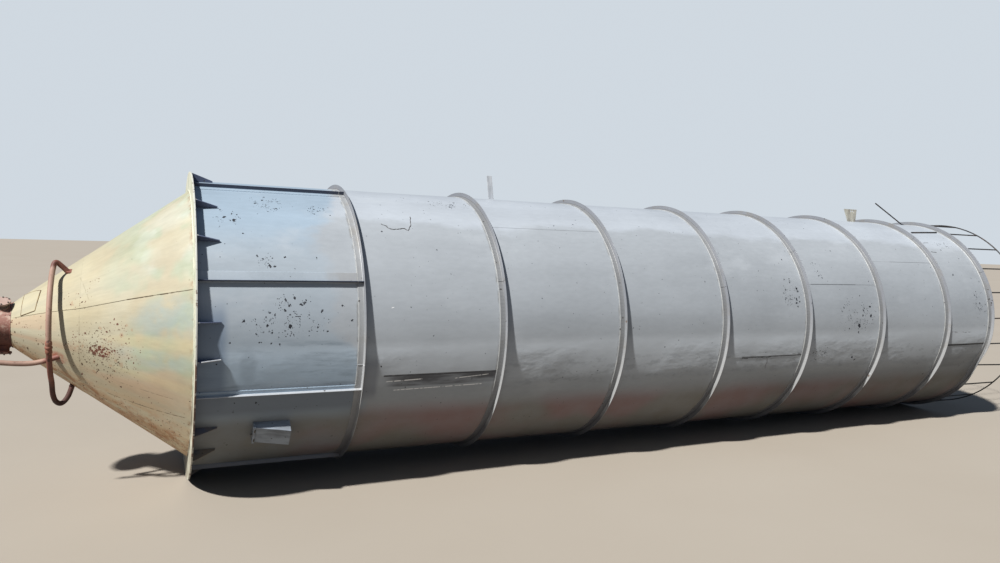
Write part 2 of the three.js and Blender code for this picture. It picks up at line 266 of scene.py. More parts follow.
def build(name, shapes, finish, stands_for=(), bevel=0.0):
    """Joins shapes of points and faces into one mesh with its faces outwards, which rides on the silo."""
    corners, faces, count = [], [], 0
    for points, polygons in shapes:
        corners.append(points)
        faces += [[count + k for k in polygon] for polygon in polygons]
        count += len(points)
    mesh = bpy.data.meshes.new(name)
    mesh.from_pydata(placed(np.concatenate(corners)).tolist(), [], faces)
    solid = bmesh.new()
    solid.from_mesh(mesh)
    bmesh.ops.recalc_face_normals(solid, faces=solid.faces)
    solid.to_mesh(mesh)
    solid.free()
    mesh.shade_smooth()
    mesh.set_sharp_from_angle(angle=SHARP)
    mesh.materials.append(finish)
    piece = bpy.data.objects.new(name, mesh)
    bpy.context.scene.collection.objects.link(piece)
    if bevel:
        edge = piece.modifiers.new("worn edge", "BEVEL")
        edge.width = bevel
        edge.segments = 2
        edge.limit_method = "ANGLE"
        edge.angle_limit = SHARP
        edge.harden_normals = True
    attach(piece, "root")
    if stands_for:
        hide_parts(*stands_for)
    return piece


def count_of(*pieces):
    """How many faces the pieces have before their modifiers."""
    return sum(len(piece.data.polygons) for piece in pieces)


print("bevelled edges are those over", round(float(np.degrees(SHARP))), "degrees")

# %% [markdown]
# ## Shader sums as Python
# A finish is a sum of patterns. Writing it as nodes by hand hides the sum, so a small class wraps a socket
# and gives it the operators of arithmetic. Each operator adds the Math node that does it.

# %% A socket that can be added, multiplied and compared
def math_node(operation, swapped=False):
    """The method of one operator: it adds the Math node that does the operation on the field and a value."""
    def method(self, *values):
        values = (*values, self) if swapped else (self, *values)
        return self.finish.node("ShaderNodeMath", {"operation": operation}, dict(enumerate(values)))

    return method


class Field:
    """A number or a colour that varies over a surface: one output socket of a node in a finish."""

    __add__ = __radd__ = math_node("ADD")
    __sub__ = math_node("SUBTRACT")
    __rsub__ = math_node("SUBTRACT", swapped=True)
    __mul__ = __rmul__ = math_node("MULTIPLY")
    __truediv__ = math_node("DIVIDE")
    __or__ = __ror__ = math_node("MAXIMUM")
    arctan2 = math_node("ARCTAN2")
    root = math_node("SQRT")
    size = math_node("ABSOLUTE")

    def __init__(self, finish, socket):
        self.finish = finish
        self.socket = socket

    def other(self, output):
        """Another output of the same node."""
        return Field(self.finish, self.socket.node.outputs[output])

    def step(self, low, high):
        """0 on the low side, 1 on the high side and a smooth S between; low may be the larger number."""
        limits = {"Value": self, "From Min": low, "From Max": high}
        return self.finish.node("ShaderNodeMapRange", {"interpolation_type": "SMOOTHSTEP"}, limits)

    def inside(self, low, high, soft):
        """1 between two limits, falling to 0 over a soft margin outside them."""
        return self.step(low - soft, low) * self.step(high + soft, high)


print("a field | a field is the larger of two masks")

# %% [markdown]
# A finish holds the shader and the places that its patterns use. The patterns read Object coordinates,
# which a Mapping node turns into the silo's own frame, so a chip keeps its place on the shell from every
# side. Station, angle and radius come from that with a little trigonometry.

# %% The finish
def tone(code):
    """A colour written as six hexadecimal digits, as the linear numbers that a shader uses."""
    value = np.array([int(code[k:k + 2], 16) for k in (0, 2, 4)]) / 255
    linear = np.where(value <= 0.04045, value / 12.92, ((value + 0.055) / 1.055) ** 2.4)
    return (*linear.tolist(), 1.0)


class Finish:
    """A material under construction, with one method that adds any node."""

    def __init__(self, name):
        self.material = bpy.data.materials.new(name)
        self.material.use_nodes = True
        self.tree = self.material.node_tree
        self.tree.nodes.clear()
        self.shader = self.tree.nodes.new("ShaderNodeBsdfPrincipled")
        output = self.tree.nodes.new("ShaderNodeOutputMaterial")
        self.tree.links.new(self.shader.outputs["BSDF"], output.inputs["Surface"])
        local = self.node("ShaderNodeTexCoord").other("Object")
        home = {"Vector": local, "Rotation": (0.0, -TILT, 0.0), "Location": tuple(-LEAN.T @ MOVE)}
        self.spot = self.node("ShaderNodeMapping", {"vector_type": "POINT"}, home)
        axes = self.node("ShaderNodeSeparateXYZ", {}, {"Vector": self.spot})
        self.x = axes
        self.y = axes.other("Y")
        self.z = axes.other("Z")
        self.angle = self.z.arctan2(self.y * -1) * (180 / np.pi)
        self.radius = (self.y * self.y + self.z * self.z).root()

    def node(self, kind, settings=None, sockets=None):
        """Adds a node and sets its settings, then its sockets from values, colour codes or fields. The node's
        first output is what comes back."""
        node = self.tree.nodes.new(kind)
        for name, value in (settings or {}).items():
            setattr(node, name, value)
        for name, value in (sockets or {}).items():
            if isinstance(value, Field):
                self.tree.links.new(value.socket, node.inputs[name])
            else:
                node.inputs[name].default_value = tone(value) if isinstance(value, str) else value
        return Field(self, node.outputs[0])

    def vector(self, operation, first, second):
        """A Vector Math node on two places, or on a place and a number."""
        second = {"Scale": second} if operation == "SCALE" else {1: second}
        return self.node("ShaderNodeVectorMath", {"operation": operation}, {0: first, **second})

    def noise(self, scale, detail=3, stretch=(1, 1, 1), rough=0.5, place=None):
        """Cloudy noise from 0 to 1, with its grain drawn out along an axis whose stretch is under 1."""
        drawn = self.vector("MULTIPLY", place or self.spot, stretch)
        values = {"Vector": drawn, "Scale": scale, "Detail": detail, "Roughness": rough}
        return self.node("ShaderNodeTexNoise", {}, values)

    def ragged(self, scale, amount):
        """The place moved about by noise, so that a round spot gets a torn edge."""
        centred = self.vector("SUBTRACT", self.noise(scale).other("Color"), (0.5, 0.5, 0.5))
        return self.vector("ADD", self.spot, self.vector("SCALE", centred, amount))

    def spots(self, places, torn):
        """1 on round spots with torn edges, each given by its centre in metres and its radius."""
        room = -1.0
        for centre, radius in places:
            room = (radius - self.vector("DISTANCE", torn, centre).other("Value")) | room
        return room.step(-0.0005, 0.0015)

    def flakes(self, scale, share, size=0.22, ragged=0.9):
        """Ragged spots: a share of the cells of a Voronoi pattern, where the cell's point is near."""
        place = self.ragged(scale * 2.2, ragged / scale)
        cells = self.node("ShaderNodeTexVoronoi", {}, {"Vector": place, "Scale": scale})
        chance = self.node("ShaderNodeSeparateColor", {}, {"Color": cells.other("Color")})
        kept = (share - chance).step(0.0, 0.01)
        spread = chance.other("Green") * size + size * 0.5
        return (spread - cells).step(0.0, 0.06) * kept

    def near(self, x, angle, reach, turn):
        """1 at a place on the shell, falling to 0 at a reach along it and a turn round it."""
        dx = (self.x - x) / reach
        da = (self.angle - angle) / turn
        return (dx * dx + da * da).step(1.0, 0.0)

    def under(self, start, end):
        """0 above the start angle, 1 past the end angle round the underside, and the same on the far side."""
        return self.angle.step(start, end) * self.angle.step(-180 - start, -180 - end)

    def line(self, x0, angle0, x1, angle1, width, radius=SHELL_R):
        """1 on a straight mark between two places on the shell, with its width in metres."""
        if abs(x1 - x0) > np.radians(abs(angle1 - angle0)) * radius:
            off = self.angle - angle0 - (self.x - x0) * ((angle1 - angle0) / (x1 - x0))
            off = off.size() * (np.pi / 180 * radius)
            along = self.x.inside(min(x0, x1), max(x0, x1), 0.01)
        else:
            off = (self.x - x0 - (self.angle - angle0) * ((x1 - x0) / (angle1 - angle0))).size()
            along = self.angle.inside(min(angle0, angle1), max(angle0, angle1), 0.5)
        return off.step(width * 0.7, width * 0.3) * along

    def blend(self, below, above, mask):
        """The colour below where the mask is 0 and the colour above where it is 1."""
        return self.node("ShaderNodeMix", {"data_type": "RGBA"}, {0: mask, 6: below, 7: above}).other(2)

    def coat(self, colour, mask):
        """Lays a colour over the paint so far, where the mask is 1."""
        self.paint = self.blend(self.paint, colour, mask)

    def shade(self, factor):
        """Makes the paint so far lighter or darker by a number near 1."""
        self.paint = self.vector("SCALE", self.paint, factor)

    def done(self, roughness, height=None, metallic=0.0):
        """Feeds the shader. Height is in metres and makes the bump."""
        fed = {"Base Color": self.paint, "Roughness": roughness, "Metallic": metallic}
        if height is not None:
            bump = {"Strength": 1.0, "Distance": 1.0, "Height": height}
            fed["Normal"] = self.node("ShaderNodeBump", {}, bump)
        for name, value in fed.items():
            if isinstance(value, Field):
                self.tree.links.new(value.socket, self.shader.inputs[name])
            else:
                self.shader.inputs[name].default_value = value
        return self.material


print("a mid grey b4b4b4 is", round(tone("b4b4b4")[0], 3), "in linear light")

# %% [markdown]
# ## Silver-grey paint
# The shell was rolled, welded and then painted on site with a silver-grey satin paint, the first bay with a
# bluer batch. The paint could be one noisy grey, but the eye reads the marks: chips where the primer is
# gone, lap seams with dirt under their edge, pale scratches, soft roller bands and dust low down. Light and
# shade are painted into the colour as well: a paler top that is chalky paint and painted sky reflection, a
# painted sheen band above the shade line, painted shade on the underside, under the lower bar and under the
# laps of the second and last courses, reddish patches for light bounced up from the ground, and painted
# shadows of the support ring and the first ring. Each of them is a mask, and the paint is one colour blended
# over the other through these masks.

# %% Where the shell carries its marks
CHIP_PLACES = [
    (0.24, 48, 0.12, 5), (0.55, 58, 0.16, 7), (0.50, 28, 0.09, 3), (0.69, 12, 0.17, 5), (0.64, 5, 0.40, 6),
    (0.92, 54, 0.12, 5), (5.87, 17, 0.16, 9), (6.84, 5, 0.34, 10), (6.33, -14, 0.16, 7), (6.36, 30, 0.12, 5),
    (8.90, 50, 0.16, 4), (9.05, 12, 0.15, 10), (2.20, 66, 0.25, 5),
]
BIG_CHIPS = [
    (0.21, 48.0, 12), (0.27, 50.0, 9), (0.28, 46.4, 14), (0.17, 42.6, 7), (0.34, 39.5, 8),
    (0.52, 60.3, 11), (0.61, 61.8, 7), (0.60, 54.3, 8), (0.43, 30.3, 9), (0.52, 26.4, 11),
    (0.555, 26.2, 10), (0.64, 29.8, 8), (0.88, 29.8, 9), (0.95, 54.4, 8), (0.69, 14.2, 13),
    (0.745, 12.0, 13), (0.77, 12.6, 12), (0.62, 13.8, 8), (0.62, 10.0, 9), (0.90, 9.5, 9),
    (1.06, 11.4, 9), (1.14, 6.0, 8), (0.32, 6.3, 11), (0.415, 5.1, 8), (0.49, 4.6, 13), (0.66, 4.2, 12),
    (0.87, 3.9, 8), (0.94, 2.3, 8), (0.44, -1.4, 9), (0.52, -1.8, 8), (0.59, -2.3, 9), (0.80, 21.8, 6),
    (1.11, 23.5, 7), (5.88, 22.3, 10), (5.78, 20.4, 9), (5.765, 16.6, 8), (5.97, 17.6, 10),
    (5.91, 14.3, 9), (5.94, 13.5, 13), (5.98, 14.8, 8), (5.93, 11.8, 11), (5.945, 10.0, 9),
    (5.975, 12.3, 8), (6.325, 33.6, 9), (6.34, 26.0, 12), (6.39, 25.0, 9), (7.056, 9.5, 13),
    (6.64, 9.1, 12), (6.935, 5.0, 14), (7.065, 4.7, 16), (6.88, -0.2, 21), (6.875, -3.6, 12),
    (6.86, -17.4, 14), (6.91, -19.0, 13), (6.325, -13.1, 11), (8.76, 46.2, 11), (8.675, 28.1, 11),
]
SEAMS = [
    (100.0, 0.2, 0.0, 1.24), (-15.7, 1.0, 1.42, 2.48), (48.8, 0.16, 2.48, 3.72), (104.0, 0.3, 3.72, 4.96),
    (-14.7, 0.8, 5.22, 6.11), (21.4, 0.4, 6.19, 6.88), (35.7, 0.22, 7.62, 8.32), (-12.8, 0.9, 8.41, 9.24),
]
SCRATCHES = [
    (1.445, -18.2, 1.750, -17.7, 0.009), (1.520, -22.1, 2.300, -21.3, 0.007),
    (2.050, -18.1, 2.350, -17.0, 0.007), (1.440, 10.4, 1.475, 10.8, 0.005),
]
print(len(BIG_CHIPS), "large chips,", len(CHIP_PLACES), "groups of small ones,", len(SCRATCHES), "scratches")


# %% Silver-grey shell paint
def seam_mask(f, wide):
    """1 along the lap seam of each course and along its twin on the far side."""
    total = 0.0
    for number, (angle, depth, start, end) in enumerate(SEAMS):
        end = min(end, STATIONS[number + 1] - RING_LEG)
        half = np.degrees(wide / SHELL_R) * (0.5 + depth)
        twins = (angle, angle + 180 if angle <= 0 else angle - 180)
        near, far = ((f.angle - twin).size().step(half, half * 0.4) for twin in twins)
        total = (near + far) * f.x.inside(start, end, 0.01) * (0.2 + 0.8 * depth) + total
    return total


def chips(f):
    """The large chips at their places alone, and these with the small ones that crowd round the groups."""
    crowd = sum(f.near(*place) for place in CHIP_PLACES)
    places = [(tuple(around(x, SHELL_R, angle).tolist()), size / 1000) for x, angle, size in BIG_CHIPS]
    large = f.spots(places, f.ragged(45, 0.045))
    bunched = f.noise(13, 2).step(0.42, 0.60)
    medium = f.flakes(26, crowd * bunched * 0.55 + 0.006, 0.24)
    small = f.flakes(44, crowd * bunched * 0.85 + 0.012, 0.26)
    fine = f.flakes(80, crowd * bunched * 0.9 + 0.010, 0.30)
    return large, large | medium | small | fine


def first_paint(f):
    """1 where the bluer paint of the first bay ends: a wandering border with a bulge of grey overspray."""
    bulge = (f.angle - 38) / 11
    torn = f.noise(3.5, 3) * 0.30 + f.noise(16, 4) * 0.10
    border = torn + f.angle.step(50, 76) * 0.16 - (bulge * bulge).step(1.0, 0.0) * 0.15 + 0.81
    return (border + f.angle.step(4, -8) * 0.22 - f.x).step(-0.07, 0.08)


def first_tone(f):
    """The colour of the first bay: blue-grey, and greyer a little above the near side."""
    return f.blend("95a5b3", "9aa3ab", f.angle.inside(6, 26, 22))


def shell_paint():
    f = Finish("silver_grey_paint")
    clouds = f.noise(1.1, 4)
    bands = f.noise(3.0, 4, (0.10, 1.0, 1.0))
    grain = f.noise(34, 3, (0.35, 1.0, 1.0))
    wander = f.noise(3.0, 5, (0.45, 1, 1), 0.6) * 22
    # Paler, bluer paint over the top: chalky paint, and a painted sky reflection.
    chalk_and_sky_sheen = (f.angle + wander).step(58, 64) * (180 - f.angle + wander).step(58, 64)
    f.paint = f.blend("9da2a7", "abb1b8", chalk_and_sky_sheen)
    first = first_paint(f)
    f.coat(first_tone(f), first)
    # Painted sheen: a band just above the shade line is made lighter, as the satin paint would shine there.
    painted_sheen_band = f.angle.inside(-18, -5, 4) * 0.24
    # Painted shade: darker under the lap of the last course.
    shade_under_last_seam = f.x.inside(8.42, 9.24, 0.02) * f.angle.inside(-26, -13, 2) * 0.24
    f.shade(clouds * 0.28 + bands * 0.34 + grain * 0.16 + painted_sheen_band - shade_under_last_seam + 0.63)
    faded = f.noise(2.6, 5, (0.5, 1, 1), 0.6).step(0.54, 0.72) * 0.4
    f.coat("b4b9be", faded)
    smear = f.noise(9, 5, (0.14, 1, 1), 0.65).step(0.48, 0.68) * f.angle.inside(-19, -3, 4) * first
    f.coat("66727d", (smear | f.near(0.36, -10, 0.08, 9.0) * 0.5) * 0.55)
    scuffs = f.noise(15, 5, (0.45, 1, 1), 0.7).step(0.50, 0.62) * f.angle.inside(-22, -13, 3)
    f.coat("62666a", scuffs * f.x.step(2.40, 2.60) * 0.24)
    # Painted shadow of the support ring: a darker, bluer patch on the shell beside it, low on the near side.
    corner = f.x.inside(0.0, 0.16, 0.08) * f.angle.inside(-20, 6, 10)
    f.coat("6a7b90", corner * 0.7)
    # Painted shadow of the first ring: darker, bluer paint beside it in the second bay, low on the near side.
    shadow_behind_ring = f.x.inside(1.25, 1.34, 0.05) * f.angle.inside(-22, -11, 5)
    f.coat("5f6470", shadow_behind_ring * 0.5)
    # Dust and painted shade on the underside: darker paint there, with reddish patches painted for warm light
    # bounced up from the ground.
    low = f.under(-25, -37)
    dust_and_shade = low * (f.noise(3.5, 4) * 0.5 + 0.45)
    reddish_bounce = f.noise(1.2, 2).step(0.40, 0.62) * f.x.step(0.55, 1.05)
    f.coat(f.blend("7b7468", "8b6660", reddish_bounce), dust_and_shade)
    # Painted shade: darker still below the shade line, most of all on the far bays.
    far_end = f.x.step(4.9, 6.3)
    f.shade(1.0 - f.angle.step(-21, -28) * (far_end * 0.24 + 0.05))
    # Painted shade: darker, bluer paint just under the lower bar of the first bay.
    shade_under_bar = f.x.step(STATIONS[1] - 0.02, STATIONS[1] - 0.05) * f.angle.inside(-27, -21, 5)
    f.coat("6b727c", shade_under_bar * 0.75)
    ring_dirt = sum(f.x.inside(station - RING_LEG - 0.006, station + 0.008, 0.02) for station in STATIONS[1:])
    f.coat("77736c", ring_dirt * f.noise(9, 4).step(0.42, 0.66) * 0.6)
    seams = seam_mask(f, 0.007)
    f.coat("37383c", seams * (f.noise(7, 3, (1, 3, 3)).step(0.2, 0.5) * 0.6 + 0.4))
    # A worn, scraped band under the lap of the second course, darkened also as painted shade under the lap.
    worn = f.x.inside(1.56, 2.40, 0.16) * f.angle.inside(-20.0, -16.2, 1.1)
    f.coat("4a4b50", worn * (f.noise(14, 4, (0.2, 1, 1)).step(0.32, 0.58) * 0.5 + 0.4))
    pale = sum(f.line(*scratch) for scratch in SCRATCHES)
    f.coat("fafaf8", pale * f.noise(30, 3).step(0.34, 0.52))
    f.coat("1c1e22", f.line(8.41, -12.9, 9.19, -12.8, 0.022) * 0.85)
    deep_chips, chipped = chips(f)
    f.coat("1e2027", chipped)
    knock = f.x.step(8.6, 8.65) * f.angle.inside(-62, 8, 1)
    inner = f.radius.step(SHELL_R - 0.003, SHELL_R - 0.004) * (1 - knock)
    inner = inner * f.x.step(ROOF_EDGE - 0.007, ROOF_EDGE - 0.009)
    f.coat("6f6a62", inner)
    rough = clouds * 0.14 + dust_and_shade * 0.3 + chipped * 0.25 + 0.36
    dented = f.angle.inside(-22, -9, 5) * f.noise(0.9, 2).step(0.42, 0.55)
    dents = f.noise(8.0, 3, (0.55, 1, 1)) * dented * 0.010
    height = f.noise(3.2, 3) * 0.002 + f.noise(70, 2) * 0.00012 + deep_chips * -0.0005 + seams * -0.0008
    return f.done(rough, height + dents, (1 - chipped) * 0.15)


SHELL_PAINT = shell_paint()
print("shell paint nodes:", len(SHELL_PAINT.node_tree.nodes))

# %% [markdown]
# The rings and bars were painted with the shell, but their edges are thin and get knocked. Their toes hold
# dirt, and where two ends of a ring meet there is a ground weld. Light and shade are painted on them too:
# the bars' standing legs are painted dark where they are shaded and pale where the sun falls on them, the
# rings' webs darker at the top and lighter low down, the roots of the angles darker, and the low parts
# darker where they turn into the shade.

# %% Paint on the angle steel
def ring_paint():
    f = Finish("ring_paint")
    bay = f.x.step(STATIONS[1] - 0.055, STATIONS[1] - 0.06)
    first = first_paint(f) * bay
    f.paint = f.blend("989a9c", first_tone(f), first)
    standing_leg = f.radius.step(SHELL_R + 0.006, SHELL_R + 0.010)
    on_bar = f.x.step(STATIONS[1] - 0.0049, STATIONS[1] - 0.0053)
    web = standing_leg * (1 - on_bar)
    # Lit and shaded copies of one paint on the bars' standing legs: painted shade, dark, on the upper half,
    # and a painted highlight, pale, on the lower half, where the sun falls on them.
    f.coat("454b5c", standing_leg * on_bar * f.angle.step(0, 5))
    f.coat("bfc1c4", standing_leg * on_bar * f.angle.step(0, -5) * 0.8)
    # The rings' webs are painted darker at the top and lighter low down, for the light that falls on them.
    f.coat(f.blend("85888e", "adaeaf", f.angle.step(15, -22)), web)
    clouds = f.noise(2.3, 4)
    flat_leg = bay * (1 - standing_leg)
    f.shade(clouds * 0.3 + f.noise(30, 3) * 0.16 + flat_leg * 0.15 + 0.76)
    grime = f.noise(6, 5, rough=0.65).step(0.50, 0.72) * (1 - bay)
    f.coat("857f75", grime * 0.45)
    from_toe = ((f.x - (station - RING_LEG - 0.001)).size() for station in STATIONS[1:])
    toe = sum(gap.step(0.0045, 0.0035) for gap in from_toe)
    f.coat("adaeac", toe * f.noise(12, 3).step(0.38, 0.60) * 0.7)
    # Painted shade in the root of each angle, where its two legs meet.
    root = f.radius.inside(SHELL_R + 0.0056, SHELL_R + 0.0125, 0.001) * (1 - on_bar)
    f.coat("636466", root * (f.noise(5, 3) * 0.5 + 0.5))
    # Dust and painted shade: darker low down, and on the webs where they turn into the shade.
    dust_and_shade = f.z.step(-0.30, -1.0) * (1 - web) * 0.7 + web * f.angle.step(-41, -47) * 0.7
    f.coat("5b5a60", dust_and_shade)
    chipped = f.flakes(36, f.near(9.22, 14, 0.10, 8.0) * 0.8 + 0.035, 0.25)
    f.coat("3a3532", chipped)
    rust = f.flakes(24, 0.03, 0.26) * f.noise(3, 3).step(0.5, 0.6)
    f.coat("594637", rust * 0.8)
    height = f.noise(60, 3) * 0.0003 + chipped * -0.0005
    return f.done(clouds * 0.15 + 0.38, height, (1 - (chipped | rust)) * 0.2)


RING_PAINT = ring_paint()
print("ring paint nodes:", len(RING_PAINT.node_tree.nodes))

# %% [markdown]
# The support ring is cream on its cone side, like the cone. Its shell side and its gussets, which stay in
# shade, are painted a dark navy blue-grey as painted shade. Its flame-cut rim has lost paint and shows rust.

# %% Paint on the support ring
def support_paint():
    f = Finish("support_ring_paint")
    cream = f.x.step(-0.0095, -0.0115)
    # Painted shade: the shell side of the ring and its gussets, which stay in shade, are a dark navy, greyer
    # low down.
    shaded_shell_side = f.blend("545c73", "66666a", f.under(-28, -42))
    f.paint = f.blend(shaded_shell_side, "c3c2b1", cream)
    green = f.noise(7, 3).step(0.45, 0.65) * cream
    f.coat("a3aa95", green * 0.6)
    f.shade(f.noise(5, 5, rough=0.6) * 0.6 + 0.72)
    soiled = f.under(-18, -30) * f.noise(9, 4).step(0.3, 0.6)
    f.coat("7f7261", soiled * 0.7)
    edge = f.z.step(-0.25 * RIM_LEAST, -0.95 * RIM_LEAST) * (SUPPORT_R - RIM_LEAST) + RIM_LEAST
    inwards = edge - f.radius
    rim = inwards.step(0.010, 0.003)
    f.coat("dcdbcc", rim * 0.6)
    corroded = f.angle.inside(-36, -9, 4) * 0.16 + f.angle.inside(-90, -36, 4) * 0.05
    bare = (f.noise(17, 5, rough=0.75) + corroded).step(0.56, 0.64)
    f.coat("5a3a2a", rim * bare * 0.9)
    edge_rust = f.noise(6, 5, rough=0.7) + corroded
    f.coat("8a6041", edge_rust.step(0.54, 0.70) * inwards.step(0.05, 0.0) * cream * 0.75)
    chipped = f.flakes(40, 0.06, 0.25)
    f.coat("3b332d", chipped)
    return f.done(f.noise(8, 3) * 0.2 + 0.45, f.noise(50, 4) * 0.0005 + chipped * -0.0006)


SUPPORT_PAINT = support_paint()
print("support ring paint nodes:", len(SUPPORT_PAINT.node_tree.nodes))

# %% [markdown]
# ## Cream paint on the cone
# The cone has chalky cream paint with greenish and peach patches, rust freckles in a dense group at half its
# length and a rusty, dirty lower side. The lower side is also painted lighter, with paler dirt, as painted
# light bounced up from the floor. The patches follow the plates' generators, so their noise is read at the
# direction round the axis and is drawn out along it.

# %% Cone paint
CONE_INNER = CONE_TOP_R - CONE_SLOPE * CONE_START - 0.0035
CONE_LINES = [
    (-1.286, 21.6, -0.802, 18.3, 0.006, 0.35), (-0.802, 18.3, -0.460, 18.8, 0.005, 0.5),
    (-0.460, 18.8, -0.130, 18.5, 0.007, 1.0), (-0.130, 18.5, -0.012, 18.5, 0.005, 0.6),
    (-0.596, -44.6, -0.058, -34.9, 0.006, 0.9), (-0.50, -30.0, -0.15, -27.5, 0.004, 0.6),
    (-0.792, -25.0, -0.792, 13.0, 0.008, 0.35), (-0.800, 47.0, -0.730, 24.0, 0.006, 0.3),
    (-0.792, -160.0, -0.012, -160.0, 0.006, 0.7),
]
FRECKLE_PLACES = [
    (-0.64, -12.0, 0.34, 24.0, 1.1), (-0.80, 26.0, 0.14, 12.0, 0.35), (-0.70, 38.0, 0.06, 3.0, 0.5),
]


def cone_paint():
    f = Finish("cream_cone_paint")
    direction = f.node("ShaderNodeCombineXYZ", {}, {0: f.x * 0.35, 1: f.y / f.radius, 2: f.z / f.radius})
    streaks = f.noise(9.0, 5, rough=0.6, place=direction)
    wide = f.noise(3.2, place=direction)
    fine = f.noise(42.0, 4, place=direction)
    clouds = f.noise(2.0, 4)
    f.paint = f.blend("999079", "9f9a86", clouds.step(0.35, 0.65))
    upper = f.angle.step(-30, -12)
    green = f.noise(3.4, 2).step(0.46, 0.62) * f.x.step(-0.80, -0.30) * upper
    f.coat("8b957f", green * 0.75)
    grey_patch = f.near(-0.20, 8.0, 0.30, 12.0) + f.near(-0.28, -10.5, 0.34, 6.0) * 0.8
    f.coat("87918c", grey_patch * (f.noise(7, 3).step(0.25, 0.6) * 0.8))
    pale = f.noise(3.6, 3).step(0.50, 0.64) * f.x.step(-0.62, -0.22) + f.near(-0.15, 62, 0.25, 14)
    f.coat("abada3", pale * f.angle.step(20, 34) * 0.4)
    cream = f.near(-0.25, -3.0, 0.45, 4.5) + f.near(-0.25, -21.0, 0.40, 3.5)
    cream = cream + f.x.step(-0.50, -0.80) * f.angle.step(-5, 15) * 0.6
    f.coat("a79c7b", cream * (streaks * 0.8 + 0.1))
    peach = wide.step(0.48, 0.66) * f.angle.inside(-60, -16, 8)
    peach = peach + f.x.step(-0.90, -1.05) * f.angle.inside(2, 17, 6) * 0.8
    f.coat("a2846c", peach * 0.5)
    # Painted light: the paint is made much lighter low down, as light bounced up from the floor, and a little
    # on the near side.
    painted_bounce = f.angle.step(5, -40) * 0.20 + f.angle.step(-32, -58) * 1.1 + f.angle.inside(-6, 18, 12) * 0.12
    f.shade(streaks * 0.34 + fine * 0.20 + painted_bounce + f.noise(9, 4) * 0.16 + 0.68)
    # Dirt on the lower side, with its colour made paler and oranger at the bottom as painted light bounced up
    # from the floor.
    low = f.angle.step(-20, -62) * f.angle.step(-150, -110)
    dirt_and_bounce = low * (streaks.step(0.35, 0.62) * 0.65 + 0.2)
    f.coat(f.blend("b28f68", "cca478", f.angle.step(-38, -54)), dirt_and_bounce)
    rusty_edge = f.under(-36, -56) * f.noise(12, 5, rough=0.65).step(0.46, 0.62)
    f.coat("b06e3c", rusty_edge * 0.65)
    core = f.near(-0.645, -12.6, 0.10, 5.0)
    crowd = sum(f.near(*place) * share for *place, share in FRECKLE_PLACES)
    crowd = low * 0.35 + f.x.step(-0.86, -1.05) * f.angle.inside(-40, 16, 8) * 0.22 + crowd
    dense = f.flakes(30, core * 1.6, 0.46) | f.flakes(48, core * 1.6, 0.46)
    freckles = dense | f.flakes(36, crowd * 0.46 + 0.003, 0.25) | f.flakes(62, crowd * 0.85 + 0.008, 0.27)
    f.coat("94603c", f.flakes(26, crowd * 0.20 + core * 0.5, 0.40) * 0.3)
    f.coat(f.blend("4c3926", "56210f", core | f.noise(5, 2).step(0.45, 0.55)), freckles * 0.95)
    ring_rust = f.x.step(-0.05, CONE_START) * f.noise(11, 5, rough=0.7).step(0.47, 0.64)
    f.coat("7d5637", ring_rust * 0.8)
    lines = sum(f.line(*line, 0.7) * strength for *line, strength in CONE_LINES)
    f.coat("564630", lines * f.noise(26, 4).step(0.36, 0.54) * 0.85)
    red = f.near(-0.945, -29.5, 0.075, 8.0)
    f.coat("9b5f4c", red * (f.noise(16, 3).step(0.3, 0.55)))
    bare = (f.radius - f.x * CONE_SLOPE).step(CONE_INNER, CONE_INNER - 0.001)
    f.coat("5f544a", bare)
    rough = clouds * 0.15 + freckles * 0.2 + 0.5
    height = f.noise(4.0, 3) * 0.0022 + fine * 0.0004 + freckles * 0.0002 + lines * -0.0006
    return f.done(rough, height)


CONE_PAINT = cone_paint()
print("cone paint nodes:", len(CONE_PAINT.node_tree.nodes))

# %% [markdown]
# ## Red primer and bare steel
# The outlet and the air pipes wear red-oxide primer. Their upper parts, where the sun reaches, are a dusty
# pink, bleached and also painted paler as sunlit, and their lower parts are painted darker as painted shade,
# where the cone's shadow falls on them. The rail and the rod are thin dark bars, and the welds and bolts are
# steel that was painted over. Each has its own small sum of patterns.

# %% Red primer, dark bar, bolts and cracks
NOZZLE_REACH = 0.228


